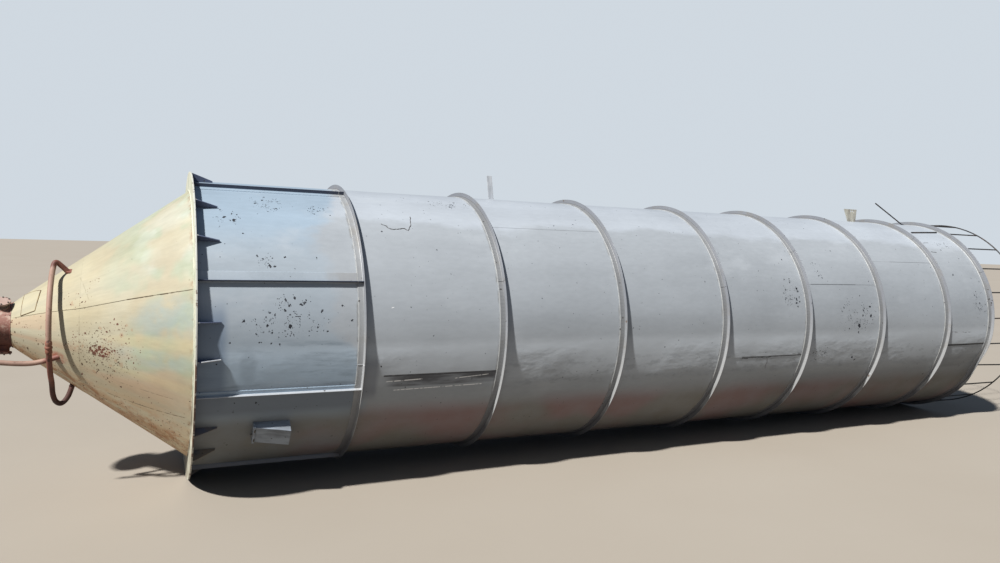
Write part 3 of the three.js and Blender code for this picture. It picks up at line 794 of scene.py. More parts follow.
def red_primer():
    f = Finish("red_oxide_primer")
    clouds = f.noise(7, 4)
    worn = f.noise(3.5, 4).step(0.35, 0.65)
    f.paint = f.blend("5f382f", "7c4d41", worn)
    outlet = f.x.step(-1.26, -1.28)
    # Paler pink on the outlet's upper side and on the manifold's upper run: bleached paint, painted paler
    # also as sunlit.
    f.coat("8f675b", outlet * f.angle.step(-25, 20) * f.angle.step(175, 140))
    bleached_and_sunlit = f.angle.inside(-11, 60, 3) * f.x.step(-0.96, -0.98) * (1 - outlet) * f.radius.step(0.40, 0.45)
    feed = f.x.step(-1.02, -1.06) * f.angle.inside(-60, -10, 10) * f.radius.step(0.36, 0.42)
    f.coat("9c7f70", (bleached_and_sunlit | feed) * (f.noise(9, 3) * 0.5 + 0.6))
    joint = f.angle.inside(-19, -8, 1) * (1 - outlet) * f.radius.step(0.45, 0.48)
    f.coat("80503f", joint * 0.8)
    # Painted shade: darker on the manifold's lower bow, where the cone's shadow falls, and on the outlet's
    # lower side.
    shaded_low_parts = f.angle.step(-44, -74) * (1 - outlet) * f.radius.step(0.45, 0.48)
    f.coat("33211e", (shaded_low_parts | f.angle.step(-5, -60) * outlet * 0.5) * 0.75)
    f.coat("b8a394", outlet * f.noise(15, 5, rough=0.7).step(0.50, 0.62) * f.angle.step(-40, 0) * 0.7)
    cap = outlet * f.angle.step(30, 45) * f.radius.step(NOZZLE_REACH - 0.016, NOZZLE_REACH - 0.013)
    f.coat("a8958c", cap * (f.noise(20, 4) * 0.7 + 0.3))
    stub = outlet * f.angle.step(30, 45) * f.radius.inside(0.185, NOZZLE_REACH - 0.016, 0.002)
    f.coat("57504d", stub * 0.8)
    f.shade(clouds * 0.75 + 0.62)
    rust = f.flakes(34, 0.16, 0.3) | f.noise(16, 4, rough=0.7).step(0.58, 0.68) * 0.6
    f.coat("3f2620", rust * 0.8)
    return f.done(clouds * 0.2 + 0.55, f.noise(70, 3) * 0.0005)


def dark_bar():
    f = Finish("dark_bar")
    clouds = f.noise(12, 4)
    f.paint = f.blend("2b2e31", "4a4440", clouds.step(0.4, 0.7))
    rust = f.noise(22, 4, rough=0.7).step(0.56, 0.68)
    f.coat("5b3a28", rust * 0.6)
    return f.done(clouds * 0.25 + 0.45, clouds * 0.0005, 0.2)


def bolt_steel():
    f = Finish("bolt_steel")
    clouds = f.noise(40, 3)
    f.paint = f.blend("6c6a66", "4a3a30", clouds.step(0.45, 0.65))
    return f.done(clouds * 0.3 + 0.35, f.noise(150, 2) * 0.0001, 0.6)


def crack_dirt():
    f = Finish("crack_dirt")
    clouds = f.noise(60, 3)
    f.paint = f.blend("33333a", "55504c", clouds)
    return f.done(clouds * 0.1 + 0.7, clouds * 0.0002)


def plain_paint(name, light, dark, streak):
    """Paint on a small fitting: two tones drawn out along one axis, with a few dark specks."""
    f = Finish(name)
    bands = f.noise(16, 4, streak)
    f.paint = f.blend(light, dark, bands.step(0.35, 0.68))
    f.coat("3a3836", f.flakes(60, 0.06, 0.3))
    return f.done(bands * 0.25 + 0.35, f.noise(45, 3) * 0.0003, 0.2)


BOX_SHEET = plain_paint("box_sheet", "97a0ab", "767c84", (0.25, 1.0, 1.0))
LUG_PAINT = plain_paint("lug_paint", "d3d6da", "b4b8bd", (1.0, 1.0, 0.4))
LIFT_PAINT = plain_paint("lifting_lug_paint", "c6c2b4", "98948a", (1.0, 1.0, 0.4))
RUSTY_WELD = plain_paint("rusty_weld", "8d7a55", "5b4430", (1.0, 1.0, 1.0))
RED_PRIMER = red_primer()
DARK_BAR = dark_bar()
BOLT_STEEL = bolt_steel()
CRACK_DIRT = crack_dirt()
print("finishes:", len(bpy.data.materials))

# %% [markdown]
# ## Shell
# Each course of the real shell is one or two plates, rolled and closed with a lap. A plain cylinder would
# look like plastic: real plate is slightly wavy, the ring welds draw it in, and at a lap the upper plate
# stands one plate thickness proud. So each course is a grid whose radius is the sum of these three, and the
# grid has two lines of points close together at each lap, which makes its edge sharp.

# %% Shell courses
SEAT = 0.0003
SEATED_R = SHELL_R + SEAT
WAVE_COUNT = 7
SHELL_ROWS = 26
SKIN_WAVE = 0.0009
WELD_PINCH = 0.0016


def waves(x, angle, height, seed):
    """Slow dents: a sum of cosines with whole numbers of turns round the axis and seeded rates along it."""
    dice = np.random.default_rng(seed)
    total = 0.0
    for _ in range(WAVE_COUNT):
        turns, rate, phase = dice.integers(2, 12), dice.uniform(0.5, 6.0), dice.uniform(0, 2 * np.pi)
        total = total + np.cos(turns * np.radians(angle) + rate * x + phase)
    return height * total / np.sqrt(WAVE_COUNT)


def ease(value, low, high):
    """0 below low, 1 above high and a smooth S between."""
    t = np.clip((value - low) / (high - low), 0, 1)
    return t * t * (3 - 2 * t)


def lap_angles(steps=ROUND, edge=0.02):
    """Angles after a lap, all round: even steps with close pairs at the lap and half a turn on."""
    even = np.arange(1, steps) * 360 / steps
    return np.unique(np.concatenate([even, [edge, 180 - edge, 180 + edge, 360 - edge]]))


def lap_height(after, spread=10.0):
    """1 just after a lap, falling like a bell, and the same half a turn on."""
    return np.exp(-((after % 180) / spread) ** 2)


def shell_course(number):
    """The wall of a course: r = shell radius + waves - weld pinch + lap outside, one plate less inside."""
    start = STATIONS[number] + (SEAT if number == 0 else SEAT - RING_LEG / 2)
    end = STATIONS[number + 1] - (0 if number == len(SEAMS) - 1 else RING_LEG / 2)
    x = np.linspace(start, end, SHELL_ROWS)[:, None]
    seam, depth = SEAMS[number][:2]
    after = lap_angles()[None]
    angle = seam + after
    toe = STATIONS[number + 1] - RING_LEG
    fade = ease(x, STATIONS[number] + 0.01, STATIONS[number] + 0.06) * ease(-x, -toe, -toe + 0.05)
    pinch = np.exp(-((x - toe) / 0.07) ** 2) + np.exp(-((x - STATIONS[number]) / 0.07) ** 2)
    outer = SHELL_R + fade * (waves(x, angle, SKIN_WAVE, 40 + number) + PLATE * depth * lap_height(after))
    outer = outer - WELD_PINCH * pinch * fade
    r = np.concatenate([outer, outer[::-1] - PLATE])
    return quads(around(np.concatenate([x, x[::-1]]), r, angle))


KNOCK_DEPTH = 0.036
KNOCK_ANGLE = -27.0
KNOCK_SPREAD = 10.0
KNOCK_REACH = 0.55


def knocked(*shapes):
    """Pushes shapes in where a knock has flattened the roof edge: a bell round the silo, fading along it."""
    pushed = []
    for points, faces in shapes:
        x, y, z = points.T
        bell = np.exp(-((np.degrees(np.arctan2(z, -y)) - KNOCK_ANGLE) / KNOCK_SPREAD) ** 2)
        fade = ease(x, ROOF_EDGE - KNOCK_REACH, ROOF_EDGE) * ease(-x, -ROOF_EDGE - 0.5, -ROOF_EDGE)
        factor = 1 - KNOCK_DEPTH * bell * fade / np.maximum(np.hypot(y, z), 0.1)
        pushed.append((np.stack([x, y * factor, z * factor], -1), faces))
    return pushed


skins = []
for number in range(len(SEAMS)):
    name = f"shell_course_{number + 1}"
    skins.append(build(f"{name}_skin", knocked(shell_course(number)), SHELL_PAINT, [name]))
print("shell courses:", len(skins), "faces:", count_of(*skins))

# %% [markdown]
# ## Rings
# The rings are 50 mm steel angle, rolled the hard way and welded round the shell with the flat leg towards
# the cone. Hot-rolled angle has a rounded root, so the profile gets one. A bead runs along each toe, and
# where the two ends of a ring meet a butt weld crosses both legs.

# %% Angle rings with their welds
ROOT_RADIUS = 0.006
BEAD = 0.0035
BUTT_ANGLES = [-10.6, 21.3, 69.0, 19.6, 40.0, -28.0, 55.0, 30.0]
BEAD_STEPS = 480
BEAD_SIDES = 6


def angle_profile(station):
    """The section of a ring as (x, r): two legs with a quarter of a circle in the root between them."""
    web, toe, face = station - RING_STEEL, station - RING_LEG, SEATED_R + RING_STEEL
    turn = np.radians(np.linspace(90, 0, 5))
    x = web - ROOT_RADIUS + ROOT_RADIUS * np.sin(turn)
    r = face + ROOT_RADIUS - ROOT_RADIUS * np.cos(turn)
    start = [[station, SEATED_R], [station, RING_R], [web, RING_R]]
    return np.concatenate([start, np.stack([x, r], -1), [[toe, face], [toe, SEATED_R]]])


def swelling(steps, share=0.2, thickness=BEAD):
    """Radii of a bead that swells at every fourth step: thickness (1 + share cos(a quarter turn a step))."""
    return thickness * (1 + share * np.cos(np.arange(steps) * np.pi / 2))


def bead(x, r, thickness=BEAD, steps=BEAD_STEPS):
    """A weld bead round the silo: a thin closed tube whose radius swells at each run of the rod."""
    angle = np.arange(steps) * 360 / steps
    return tube(around(x, r, angle), swelling(steps, 0.18, thickness), BEAD_SIDES, loop=True)


rings = []
beads = []
for number, station in enumerate(STATIONS[1:]):
    name = "roof_edge_ring" if station == ROOF_EDGE else f"stiffener_ring_{number + 1}"
    shape = knocked(revolved(angle_profile(station)))
    rings.append(build(f"{name}_angle", shape, RING_PAINT, [name], ROLLED_EDGE))
    toe, web = station - RING_LEG, station - RING_STEEL
    leg_x, leg_r = [toe, web, web], [SEATED_R + RING_STEEL, SEATED_R + RING_STEEL, RING_R]
    butts = [tube(around(leg_x, leg_r, BUTT_ANGLES[number] + turn), BEAD, 8) for turn in (0, 180)]
    beads += knocked(bead(toe - 0.001, SEATED_R), bead(station + 0.001, SEATED_R), *butts)
welds = build("ring_welds", beads, RING_PAINT)
print("rings:", len(rings), "weld faces:", count_of(welds))

# %% [markdown]
# ## Bars, gussets and the support ring
# Bars of unequal angle run along the bottom bay to carry the load of the cone into the first ring. Between
# them gussets hold the wide support ring upright. They were cut by flame, so the ring's rim isn't even.

# %% Bars of the bottom bay
BAR_LEG = 0.036
BARS = [
    (20.2, 24.0), (70.3, 68.0), (109.7, 112.0), (159.8, 156.0),
    (200.4, 198.9), (247.5, 249.8), (292.5, 290.2), (339.6, 341.1),
]


def bar(root, toe):
    """An angle bar along the shell: a flat leg from root to toe, a leg standing at the root, and this leg's
    end, which runs on over the flat leg of the first ring."""
    face, crown = SEATED_R + RING_STEEL, SHELL_R + BAR_LEG
    x0, x1 = SEAT, STATIONS[1] - RING_LEG - SEAT
    back = root + np.degrees(RING_STEEL / SHELL_R) * np.sign(toe - root)
    return [
        block(x0, x1, SEATED_R, face, root, toe, 6),
        block(x0, x1, SEATED_R, crown, root, back),
        block(x1 - 0.001, STATIONS[1] - RING_STEEL - SEAT, face + SEAT, crown, root, back),
    ]


bars = []
for number, (root, toe) in enumerate(BARS):
    name = f"stiffener_bar_{number + 1}"
    bars.append(build(f"{name}_angle", bar(root, toe), RING_PAINT, [name], ROLLED_EDGE))
toes = []
for root, toe in BARS:
    run = np.linspace(0.004, STATIONS[1] - RING_LEG - 0.004, 160)
    toes += [tube(around(run, SEATED_R, turn), swelling(160), BEAD_SIDES) for turn in (root, toe)]
bar_welds = build("bar_welds", toes, RING_PAINT)
print("bars:", len(bars), "weld faces:", count_of(bar_welds))

# %% Support ring with its gussets
SUPPORT_BORE = 1.120
GUSSET_LENGTH = 0.165
GUSSET_STEEL = 0.008
GUSSET_NOSE = 0.014
EDGE_HIGHLIGHT_R = 0.0055
HEAVY_BEAD = 0.005
GUSSET_ANGLES = [
    6.0, 36.0, 53.1, 80.5, 97.5, 127.5, 142.5, 172.5, 187.5, 217.5, 232.5, 262.5, 277.5, 311.7, 325.4, 353.2,
]


def rim_radius(angle):
    """The ring sits low on the shell: its rim is fullest at the bottom and least round the rest."""
    return RIM_LEAST + (SUPPORT_R - RIM_LEAST) * ease(-np.sin(np.radians(angle)), 0.25, 0.95)


def support_plate(steps=720):
    """The plate ring: its rim is the rim radius less the size of two slow waves."""
    angle = np.arange(steps)[None] * 360 / steps
    uneven = np.abs(waves(0.0, angle * 3, 0.0010, 5)) + np.abs(waves(0.0, angle * 17, 0.0006, 6))
    x = np.array([-SUPPORT_STEEL, -SUPPORT_STEEL, 0.0, 0.0])[:, None]
    rim = rim_radius(angle) - uneven
    bore = np.full_like(rim, SUPPORT_BORE)
    return quads(around(x, np.concatenate([bore, rim, rim, bore]), angle))


def gusset_slope(angle):
    """The two ends of a gusset's sloping edge as (x, r)."""
    return np.array([(GUSSET_LENGTH, SEATED_R + GUSSET_NOSE), (0.004, rim_radius(angle) - 0.004)])


def gusset(angle):
    """A triangle with a cut nose, from the support ring down to the shell."""
    nose, top = gusset_slope(angle)
    outline = [(-0.001, SEATED_R), (GUSSET_LENGTH, SEATED_R), nose, top, (-0.001, top[1])]
    return standing(outline, GUSSET_STEEL, angle)


support_shapes = [support_plate()] + [gusset(angle) for angle in GUSSET_ANGLES]
support = build("support_ring_plate", support_shapes, SUPPORT_PAINT, ["support_ring"],
                CUT_EDGE)
# Painted highlight: a pale strip along one gusset's sloping edge, where the sun would catch it.
bright = GUSSET_ANGLES[-1]
nose, top = gusset_slope(bright)
edge_run = around(*np.array([nose, nose * 0.15 + top * 0.85]).T, bright)
edge_highlight = build("gusset_edge_highlight", [tube(edge_run, EDGE_HIGHLIGHT_R, 10)], LUG_PAINT)
support_beads = [bead(0.002, SHELL_R, HEAVY_BEAD), bead(CONE_START - 0.002, CONE_TOP_R, HEAVY_BEAD)]
support_welds = build("support_ring_welds", support_beads, SUPPORT_PAINT)
print("gussets:", len(GUSSET_ANGLES), "faces:", count_of(support, edge_highlight, support_welds))

# %% [markdown]
# ## Cone
# The cone is two courses of plate rolled to a taper. One long lap runs nearly along it, and its angle
# wanders a little, so the grid's angles are counted from the lap. A patch plate was welded on near the tip.

# %% Cone courses and patch
LAP_STATIONS = [-1.303, -0.802, -0.477, -0.009]
LAP_PLACES = [22.0, 18.2, 18.9, 18.5]
CONE_WALL = PLATE * np.hypot(1, CONE_SLOPE)
CONE_ROWS = 30
CONE_WAVE = 0.0014
COURSE_STEP = 0.0025


def cone_skin(x, after):
    """The outer radius: the taper + waves + the lap's step + a small step where the lower course starts."""
    angle = np.interp(x, LAP_STATIONS, LAP_PLACES) + after
    lower = ease(-x, CONE_SPLIT - CONE_START - 0.004, CONE_SPLIT - CONE_START)
    ends = ease(x, CONE_TIP, CONE_TIP + 0.05) * ease(-x, -CONE_START, -CONE_START + 0.03)
    lap = PLATE * 0.8 * lap_height(after, 14.0)
    return cone_radius(x) + ends * (waves(x, angle, CONE_WAVE, 71) + lap + COURSE_STEP * lower), angle


def cone_course(x0, x1):
    """One course, with its inner wall one plate further in, measured square to the taper."""
    x = np.linspace(x0, x1, CONE_ROWS)[:, None]
    outer, angle = cone_skin(x, lap_angles()[None])
    both = np.concatenate([outer, outer[::-1] - CONE_WALL])
    return quads(around(np.concatenate([x, x[::-1]]), both, np.concatenate([angle, angle[::-1]])))


PATCH_CORNERS = [(-1.209, 22.6), (-1.109, 25.6), (-1.082, 58.0), (-1.204, 77.0)]
PATCH_TOP = 0.009
PATCH_FOOT = 0.001
PATCH_BEAD = 0.004


def patch_point(u, v, out):
    """A point of the patch: a blend of its four corners, at a height over the cone."""
    (xa, ta), (xb, tb), (xc, tc), (xd, td) = PATCH_CORNERS
    x = (1 - v) * ((1 - u) * xa + u * xb) + v * ((1 - u) * xd + u * xc)
    angle = (1 - v) * ((1 - u) * ta + u * tb) + v * ((1 - u) * td + u * tc)
    return around(x, cone_radius(x, out), angle)


def patch_plate():
    u, v = np.linspace(0, 1, 7)[:, None], np.linspace(0, 1, 15)[None]
    base, top = patch_point(u, v, PATCH_FOOT), patch_point(u, v, PATCH_TOP)
    return quads(np.concatenate([top, base[::-1]]), loop_v=False, caps=True)


edge = np.linspace(0, 1, 40)[:-1]
rim_u = np.concatenate([edge, np.ones(39), 1 - edge, np.zeros(39)])
rim_v = np.roll(rim_u, 39)
patch_weld = tube(patch_point(rim_u, rim_v, 0.006), PATCH_BEAD, BEAD_SIDES, loop=True)
split = CONE_START - CONE_SPLIT
upper_shape, lower_shape = cone_course(split + SEAT, CONE_START - SEAT), cone_course(CONE_TIP + SEAT, split)
upper = build("cone_upper_skin", [upper_shape], CONE_PAINT, ["cone_upper_course"])
lower = build("cone_lower_skin", [lower_shape], CONE_PAINT, ["cone_lower_course"])
patch = build("cone_patch", [patch_plate()], CONE_PAINT, ["cone_patch_plate"])
patch_edge = build("cone_patch_weld", [patch_weld], RUSTY_WELD)
print("cone faces:", count_of(upper, lower, patch, patch_edge))

# %% [markdown]
# ## Outlet
# The cone ends in a short red neck with a bolted flange, and a capped nozzle stands on each side of it. Bolt
# holes are cut with a Boolean, because a real hole shows its depth from every side.

# %% Neck, flange and nozzles
NECK_R = 0.176
NECK_BORE = NECK_R - 0.008
NECK_END = CONE_TIP - 0.170
FLANGE_R = 0.246
FLANGE_STEEL = 0.014
HOLE_COUNT = 12
HOLE_R = 0.009
HOLE_CIRCLE = 0.211
NOZZLE_STATION = CONE_TIP - 0.062
NOZZLE_R = 0.042
NOZZLE_CAP_R = 0.058
NOZZLE_CAP = 0.014
NOZZLE_ANGLES = [61, -74]
CAP_CIRCLE = 0.049
CAP_BOLT = 0.006


def cut(piece, shapes):
    """Takes solid shapes away from a piece and keeps the result as its mesh."""
    tool = build("cutter", shapes, CRACK_DIRT)
    opening = piece.modifiers.new("opening", "BOOLEAN")
    opening.object = tool
    opening.solver = "EXACT"
    result = piece.evaluated_get(bpy.context.evaluated_depsgraph_get())
    mesh = bpy.data.meshes.new_from_object(result)
    piece.modifiers.clear()
    piece.data = mesh
    bpy.data.objects.remove(tool)
    mesh.shade_smooth()
    mesh.set_sharp_from_angle(angle=SHARP)


def nozzle(angle):
    """A stub, a cap plate on it and the weld collar at its foot."""
    stub = tube(around(NOZZLE_STATION, [NECK_BORE, NOZZLE_REACH - 0.001], angle), NOZZLE_R, 40)
    cap = tube(around(NOZZLE_STATION, [NOZZLE_REACH - NOZZLE_CAP, NOZZLE_REACH], angle), NOZZLE_CAP_R, 48)
    collar = tube(around(NOZZLE_STATION, [NECK_R - 0.004, NECK_R + 0.004, NECK_R + 0.009], angle),
                  [NOZZLE_R + 0.008, NOZZLE_R + 0.006, NOZZLE_R], 40)
    return [stub, cap, collar]


def sleeve(x0, x1, r):
    """A wall between the outlet's bore and a radius, turned round the axis."""
    return revolved([(x0, NECK_BORE), (x1, NECK_BORE), (x1, r), (x0, r)], 96)


neck_shapes = [
    sleeve(NECK_END, CONE_TIP, NECK_R),
    bead(CONE_TIP - 0.001, NECK_R + 0.002, HEAVY_BEAD, 160),
    bead(NECK_END + 0.001, NECK_R + 0.001, HEAVY_BEAD, 160),
]
neck = build("outlet_neck_tube", neck_shapes, RED_PRIMER, ["outlet_neck"])
flange_shape = sleeve(NECK_END - FLANGE_STEEL, NECK_END, FLANGE_R)
flange = build("outlet_flange_ring", [flange_shape], RED_PRIMER, ["outlet_flange"])
hole_run = [NECK_END - 0.03, NECK_END + 0.02]
hole_angles = np.arange(HOLE_COUNT) * 360 / HOLE_COUNT
cut(flange, [tube(around(hole_run, HOLE_CIRCLE, angle), HOLE_R, 20) for angle in hole_angles])
nozzles = [build(f"{name}_stub", nozzle(angle), RED_PRIMER, [name], CUT_EDGE)
           for name, angle in zip(("outlet_upper_nozzle", "outlet_lower_nozzle"), NOZZLE_ANGLES)]


def bolt(centre, out, size):
    """A hexagon head as high as its size, with the round end of its thread: two short prisms pointing out."""
    head, end = centre + out * size, centre + out * size * 1.5
    return [tube([centre, head], size, 6), tube([centre, end], size * 0.5, 12)]


def bolt_circle(centre, out, first, radius, size):
    """Six bolts at centre + radius (cos first + sin second), where second is square to out and first."""
    second = np.cross(out, first)
    turns = np.radians(np.arange(6) * 60 + 30)[:, None]
    spots = centre + radius * (np.cos(turns) * first + np.sin(turns) * second)
    return [prism for spot in spots for prism in bolt(spot, out, size)]


cap_bolts = []
for angle in NOZZLE_ANGLES:
    cap = around(NOZZLE_STATION, NOZZLE_REACH, angle)
    cap_bolts += bolt_circle(cap, around(0.0, 1.0, angle), ALONG, CAP_CIRCLE, CAP_BOLT)
nozzle_bolts = build("nozzle_bolts", cap_bolts, BOLT_STEEL)
print("outlet faces:", count_of(neck, flange, nozzle_bolts, *nozzles))

# %% [markdown]
# ## Air pipes
# One pipe leaves the cone above, bows round it and turns back into it below. Its curve passes through
# measured places, so it bends where the real pipe does. A union joins its two halves, and a second pipe
# enters the cone beside it.

# %% Manifold, union and feed pipe
PIPE_R = 0.020
BOW_X, BOW_R = -0.995, 0.520
PIPE_ROUTE = [
    (-0.878, 0.462, 64), (-0.930, 0.520, 66), (-0.978, 0.560, 66),
    *[(BOW_X, BOW_R, angle) for angle in (60, 40, 20, 0, -20, -40, -56)],
    (BOW_X, 0.575, -68), (-0.978, 0.625, -74), (-0.940, 0.640, -76), (-0.896, 0.590, -75),
    (-0.862, 0.490, -73),
]
UNION_R = 0.0245
UNION_ANGLES = (-7.8, -19.2)
UNION_STEPS = np.array([24, 31, 31, 31, 27, 34, 34, 27, 31, 31, 31, 24]) / 31
FEED_ROUTE = [(-1.402, -0.372, -0.238), (-1.120, -0.372, -0.258), (-0.890, -0.372, -0.198)]

pipe_path = smooth_path(around(*np.array(PIPE_ROUTE).T))
manifold_shapes = [tube(pipe_path, PIPE_R, 24)]
for x, r, angle in (PIPE_ROUTE[0], PIPE_ROUTE[-1]):
    foot = around(x, r, angle)
    root = around(x, cone_radius(x), angle)
    lean = (foot - root) / np.linalg.norm(foot - root)
    collar = [PIPE_R + 0.010, PIPE_R + 0.002]
    manifold_shapes.append(tube([root - lean * 0.01, root + lean * 0.004], collar, 24))
manifold = build("air_manifold_pipe", manifold_shapes, RED_PRIMER, ["air_manifold"])
union_path = around(BOW_X, BOW_R + 0.002, np.linspace(*UNION_ANGLES, len(UNION_STEPS)))
union_shape = tube(union_path, UNION_STEPS * UNION_R, 24)
union = build("manifold_union_sleeve", [union_shape], RED_PRIMER, ["manifold_union"], CUT_EDGE)
feed_shape = tube(smooth_path(FEED_ROUTE, 20), PIPE_R, 24)
feed = build("air_feed_tube", [feed_shape], RED_PRIMER, ["air_feed_pipe"])
print("pipe faces:", count_of(manifold, union, feed))

# %% [markdown]
# ## Box, lugs and rod
# A small sheet box with a lid hangs low on the first bay. Along the top stand a leaning guide lug, a lifting
# lug with two holes and a thin stay rod.

# %% Box, lugs and rod
BOX_ANGLE = -37.5
BOX_START = 0.440
BOX_END = 0.702
BOX_HALF = 0.088
BOX_HEIGHT = 0.058
BOX_RISE = 0.054
LID_STEEL = 0.018
LID_RIM = 0.008


def beside(x, across, r):
    """A point at a station, a distance r out along the radius at the box's angle and a distance across it."""
    x, across, r = np.broadcast_arrays(x, across, r)
    s, c = np.sin(np.radians(BOX_ANGLE)), np.cos(np.radians(BOX_ANGLE))
    return np.stack([x, across * s - r * c, across * c + r * s], -1)


def crate(x0, x1, half, r0, r1, rise=0.0):
    """A box square to that radius, whose front may rise from its first station to its last."""
    across = [-half, half, half, -half]
    ends = [beside(x, across, [r0, r0, front, front]) for x, front in ((x0, r1), (x1, r1 + rise))]
    return quads(np.stack(ends, 1), loop_v=False, caps=True)


foot_r = SHELL_R * FLAT
box_front = foot_r + BOX_HEIGHT
box_shapes = [
    crate(BOX_START, BOX_END, BOX_HALF, foot_r - 0.004, box_front, BOX_RISE),
    crate(BOX_START - LID_STEEL, BOX_START + 0.001, BOX_HALF + LID_RIM, foot_r + 0.006, box_front + LID_RIM),
]
side_box = build("side_box_case", box_shapes, BOX_SHEET, ["side_box"], 0.003)
hinge_runs = [[-0.073, -0.037], [0.037, 0.073]]
hinges = [tube(beside(BOX_START - 0.004, run, box_front + 0.006), 0.006, 12) for run in hinge_runs]
latch = bolt(beside(BOX_START - LID_STEEL, 0.0, foot_r + 0.05), -ALONG, 0.010)
box_fittings = build("side_box_fittings", hinges + latch, BOLT_STEEL)

LUG_STEEL = 0.012
GUIDE_OUTLINE = [(-0.028, 0.0), (0.028, 0.0), (-0.002, 0.245), (-0.058, 0.245)]
GUIDE_STATION = 2.859
LIFT_OUTLINE = [(-0.025, 0.0), (0.110, 0.0), (0.125, 0.168), (-0.105, 0.168)]
LIFT_STATION = 8.100
LIFT_HOLES = (8.120, 8.160)
LIFT_HOLE_R = 0.014
ROD_STATION = 9.160
ROD_REACH = (-0.570, 0.0, 0.272)


def lug(outline, station):
    """A lug's plate: its outline stood on the crown of the shell at a station."""
    return standing(np.array(outline) + [station, foot_r], LUG_STEEL, 90)


guide_shape, lift_shape = lug(GUIDE_OUTLINE, GUIDE_STATION), lug(LIFT_OUTLINE, LIFT_STATION)
guide_lug = build("guide_lug_plate", [guide_shape], LUG_PAINT, ["guide_lug"], 0.0015)
lifting_lug = build("lifting_lug_plate", [lift_shape], LIFT_PAINT, ["lifting_lug"])
hole_z = foot_r + 0.142
cut(lifting_lug, [tube([[x, 0.05, hole_z], [x, -0.05, hole_z]], LIFT_HOLE_R, 20) for x in LIFT_HOLES])
rod_foot = np.array([ROD_STATION, 0.0, foot_r])
rod_tip = rod_foot + ROD_REACH
rod_collar = tube([rod_foot, rod_foot * 0.96 + rod_tip * 0.04], [0.018, 0.009], 12)
rod_shapes = [tube([rod_foot, rod_tip], 0.008, 16), rod_collar]
rod = build("stay_rod_bar", rod_shapes, DARK_BAR, ["stay_rod"])
print("fitting faces:", count_of(side_box, box_fittings, guide_lug, lifting_lug, rod))

# %% [markdown]
# ## Roof, hatch and guard rail
# The roof end faces away from the view, so it is finished as such roofs are made: a flat plate of three
# strips with a round hatch, and thin bars that carry a hoop round its edge.

# %% Roof plate, hatch and rail
ROOF_STEEL = 0.006
ROOF_STRIP = 0.35
HATCH_Z = 0.520
HATCH_R = 0.300
HATCH_HEIGHT = 0.090
HATCH_LID_R = 0.330
HATCH_LID = 0.012
HATCH_BOLT = 0.014
HINGE_HALF = 0.09
RAIL_STATION = ROOF_EDGE + 0.650
RAIL_R = 1.250 * FLAT
RAIL_BAR = 0.008
RAIL_ANGLES = 2.2 + 15 * np.arange(24)

roof_disc = tube([[ROOF_EDGE - ROOF_STEEL, 0, 0], [ROOF_EDGE, 0, 0]], SHELL_R - PLATE - SEAT, ROUND)
half_width = np.sqrt((SHELL_R - PLATE) ** 2 - ROOF_STRIP**2)
roof_seams = []
for offset in (-ROOF_STRIP, ROOF_STRIP):
    run = np.linspace(-half_width, half_width, 400)
    path = np.stack([np.full_like(run, ROOF_EDGE), np.full_like(run, offset), run], -1)
    roof_seams.append(tube(path, swelling(400), BEAD_SIDES))
roof_seams.append(bead(ROOF_EDGE + 0.0005, SHELL_R - PLATE - 0.001))
roof = build("roof_plate_disc", knocked(roof_disc, *roof_seams), SHELL_PAINT, ["roof_plate"])
hatch_foot = np.array([ROOF_EDGE + SEAT, 0.0, HATCH_Z])
lid_top = hatch_foot + ALONG * (HATCH_HEIGHT + HATCH_LID / 2)
hatch_shapes = [
    tube([hatch_foot, hatch_foot + ALONG * HATCH_HEIGHT], HATCH_R, 96),
    tube([hatch_foot + ALONG * (HATCH_HEIGHT - HATCH_LID / 2), lid_top], HATCH_LID_R, 96),
]
hatch = build("roof_hatch_lid", hatch_shapes, SHELL_PAINT, ["roof_hatch"], 0.002)
clamps = bolt_circle(lid_top, ALONG, np.array([0.0, 1.0, 0.0]), HATCH_LID_R * 0.93, HATCH_BOLT)
hinge = hatch_foot + [HATCH_HEIGHT, 0.0, HATCH_LID_R + 0.012]
clamps.append(tube([hinge - [0, HINGE_HALF, 0], hinge + [0, HINGE_HALF, 0]], 0.010, 16))
hatch_fittings = build("roof_hatch_fittings", clamps, BOLT_STEEL)
rail_run = [ROOF_EDGE + SEAT, ROOF_EDGE + 0.012, RAIL_STATION]
rail_bars = [tube(around(rail_run, RAIL_R, angle), [0.013, RAIL_BAR, RAIL_BAR], 12) for angle in RAIL_ANGLES]
rail_hoop = tube(around(RAIL_STATION, RAIL_R, np.arange(ROUND) * 360 / ROUND), RAIL_BAR, 12, loop=True)
rail = build("guard_rail_bars", knocked(*rail_bars) + [rail_hoop], DARK_BAR, ["guard_rail"])
print("roof faces:", count_of(roof, hatch, hatch_fittings, rail))

# %% [markdown]
# ## Cracks and small marks
# A few marks stand out from the paint: a wandering crack past the first ring, a torn seam in the fifth bay,
# three short threads on the last one and a bar left on it. They are thin tubes laid on the skin.

# %% Cracks and bars on the skin
CRACKS = [
    [(1.464, 47.8), (1.503, 46.7), (1.524, 45.3), (1.566, 44.9), (1.621, 45.3), (1.658, 45.7), (1.689, 44.6),
     (1.725, 47.3), (1.750, 53.3)],
    [(5.568, -15.7), (5.580, -18.0), (5.577, -19.4), (5.585, -21.2)],
    [(5.22, -15.4), (5.36, -15.1), (5.55, -15.5), (5.64, -14.7), (5.82, -14.8), (6.05, -14.3)],
    [(5.48, -14.9), (5.62, -14.2), (5.80, -14.1), (6.02, -13.7)],
    [(8.541, 52.0), (8.643, 52.2)],
    [(8.526, 44.3), (8.625, 44.0)],
    [(8.510, -5.2), (8.690, -5.3), (8.860, -5.5)],
]
THREAD_SHAKE = 0.004
THREAD_RADII = (0.0016, 0.0042)


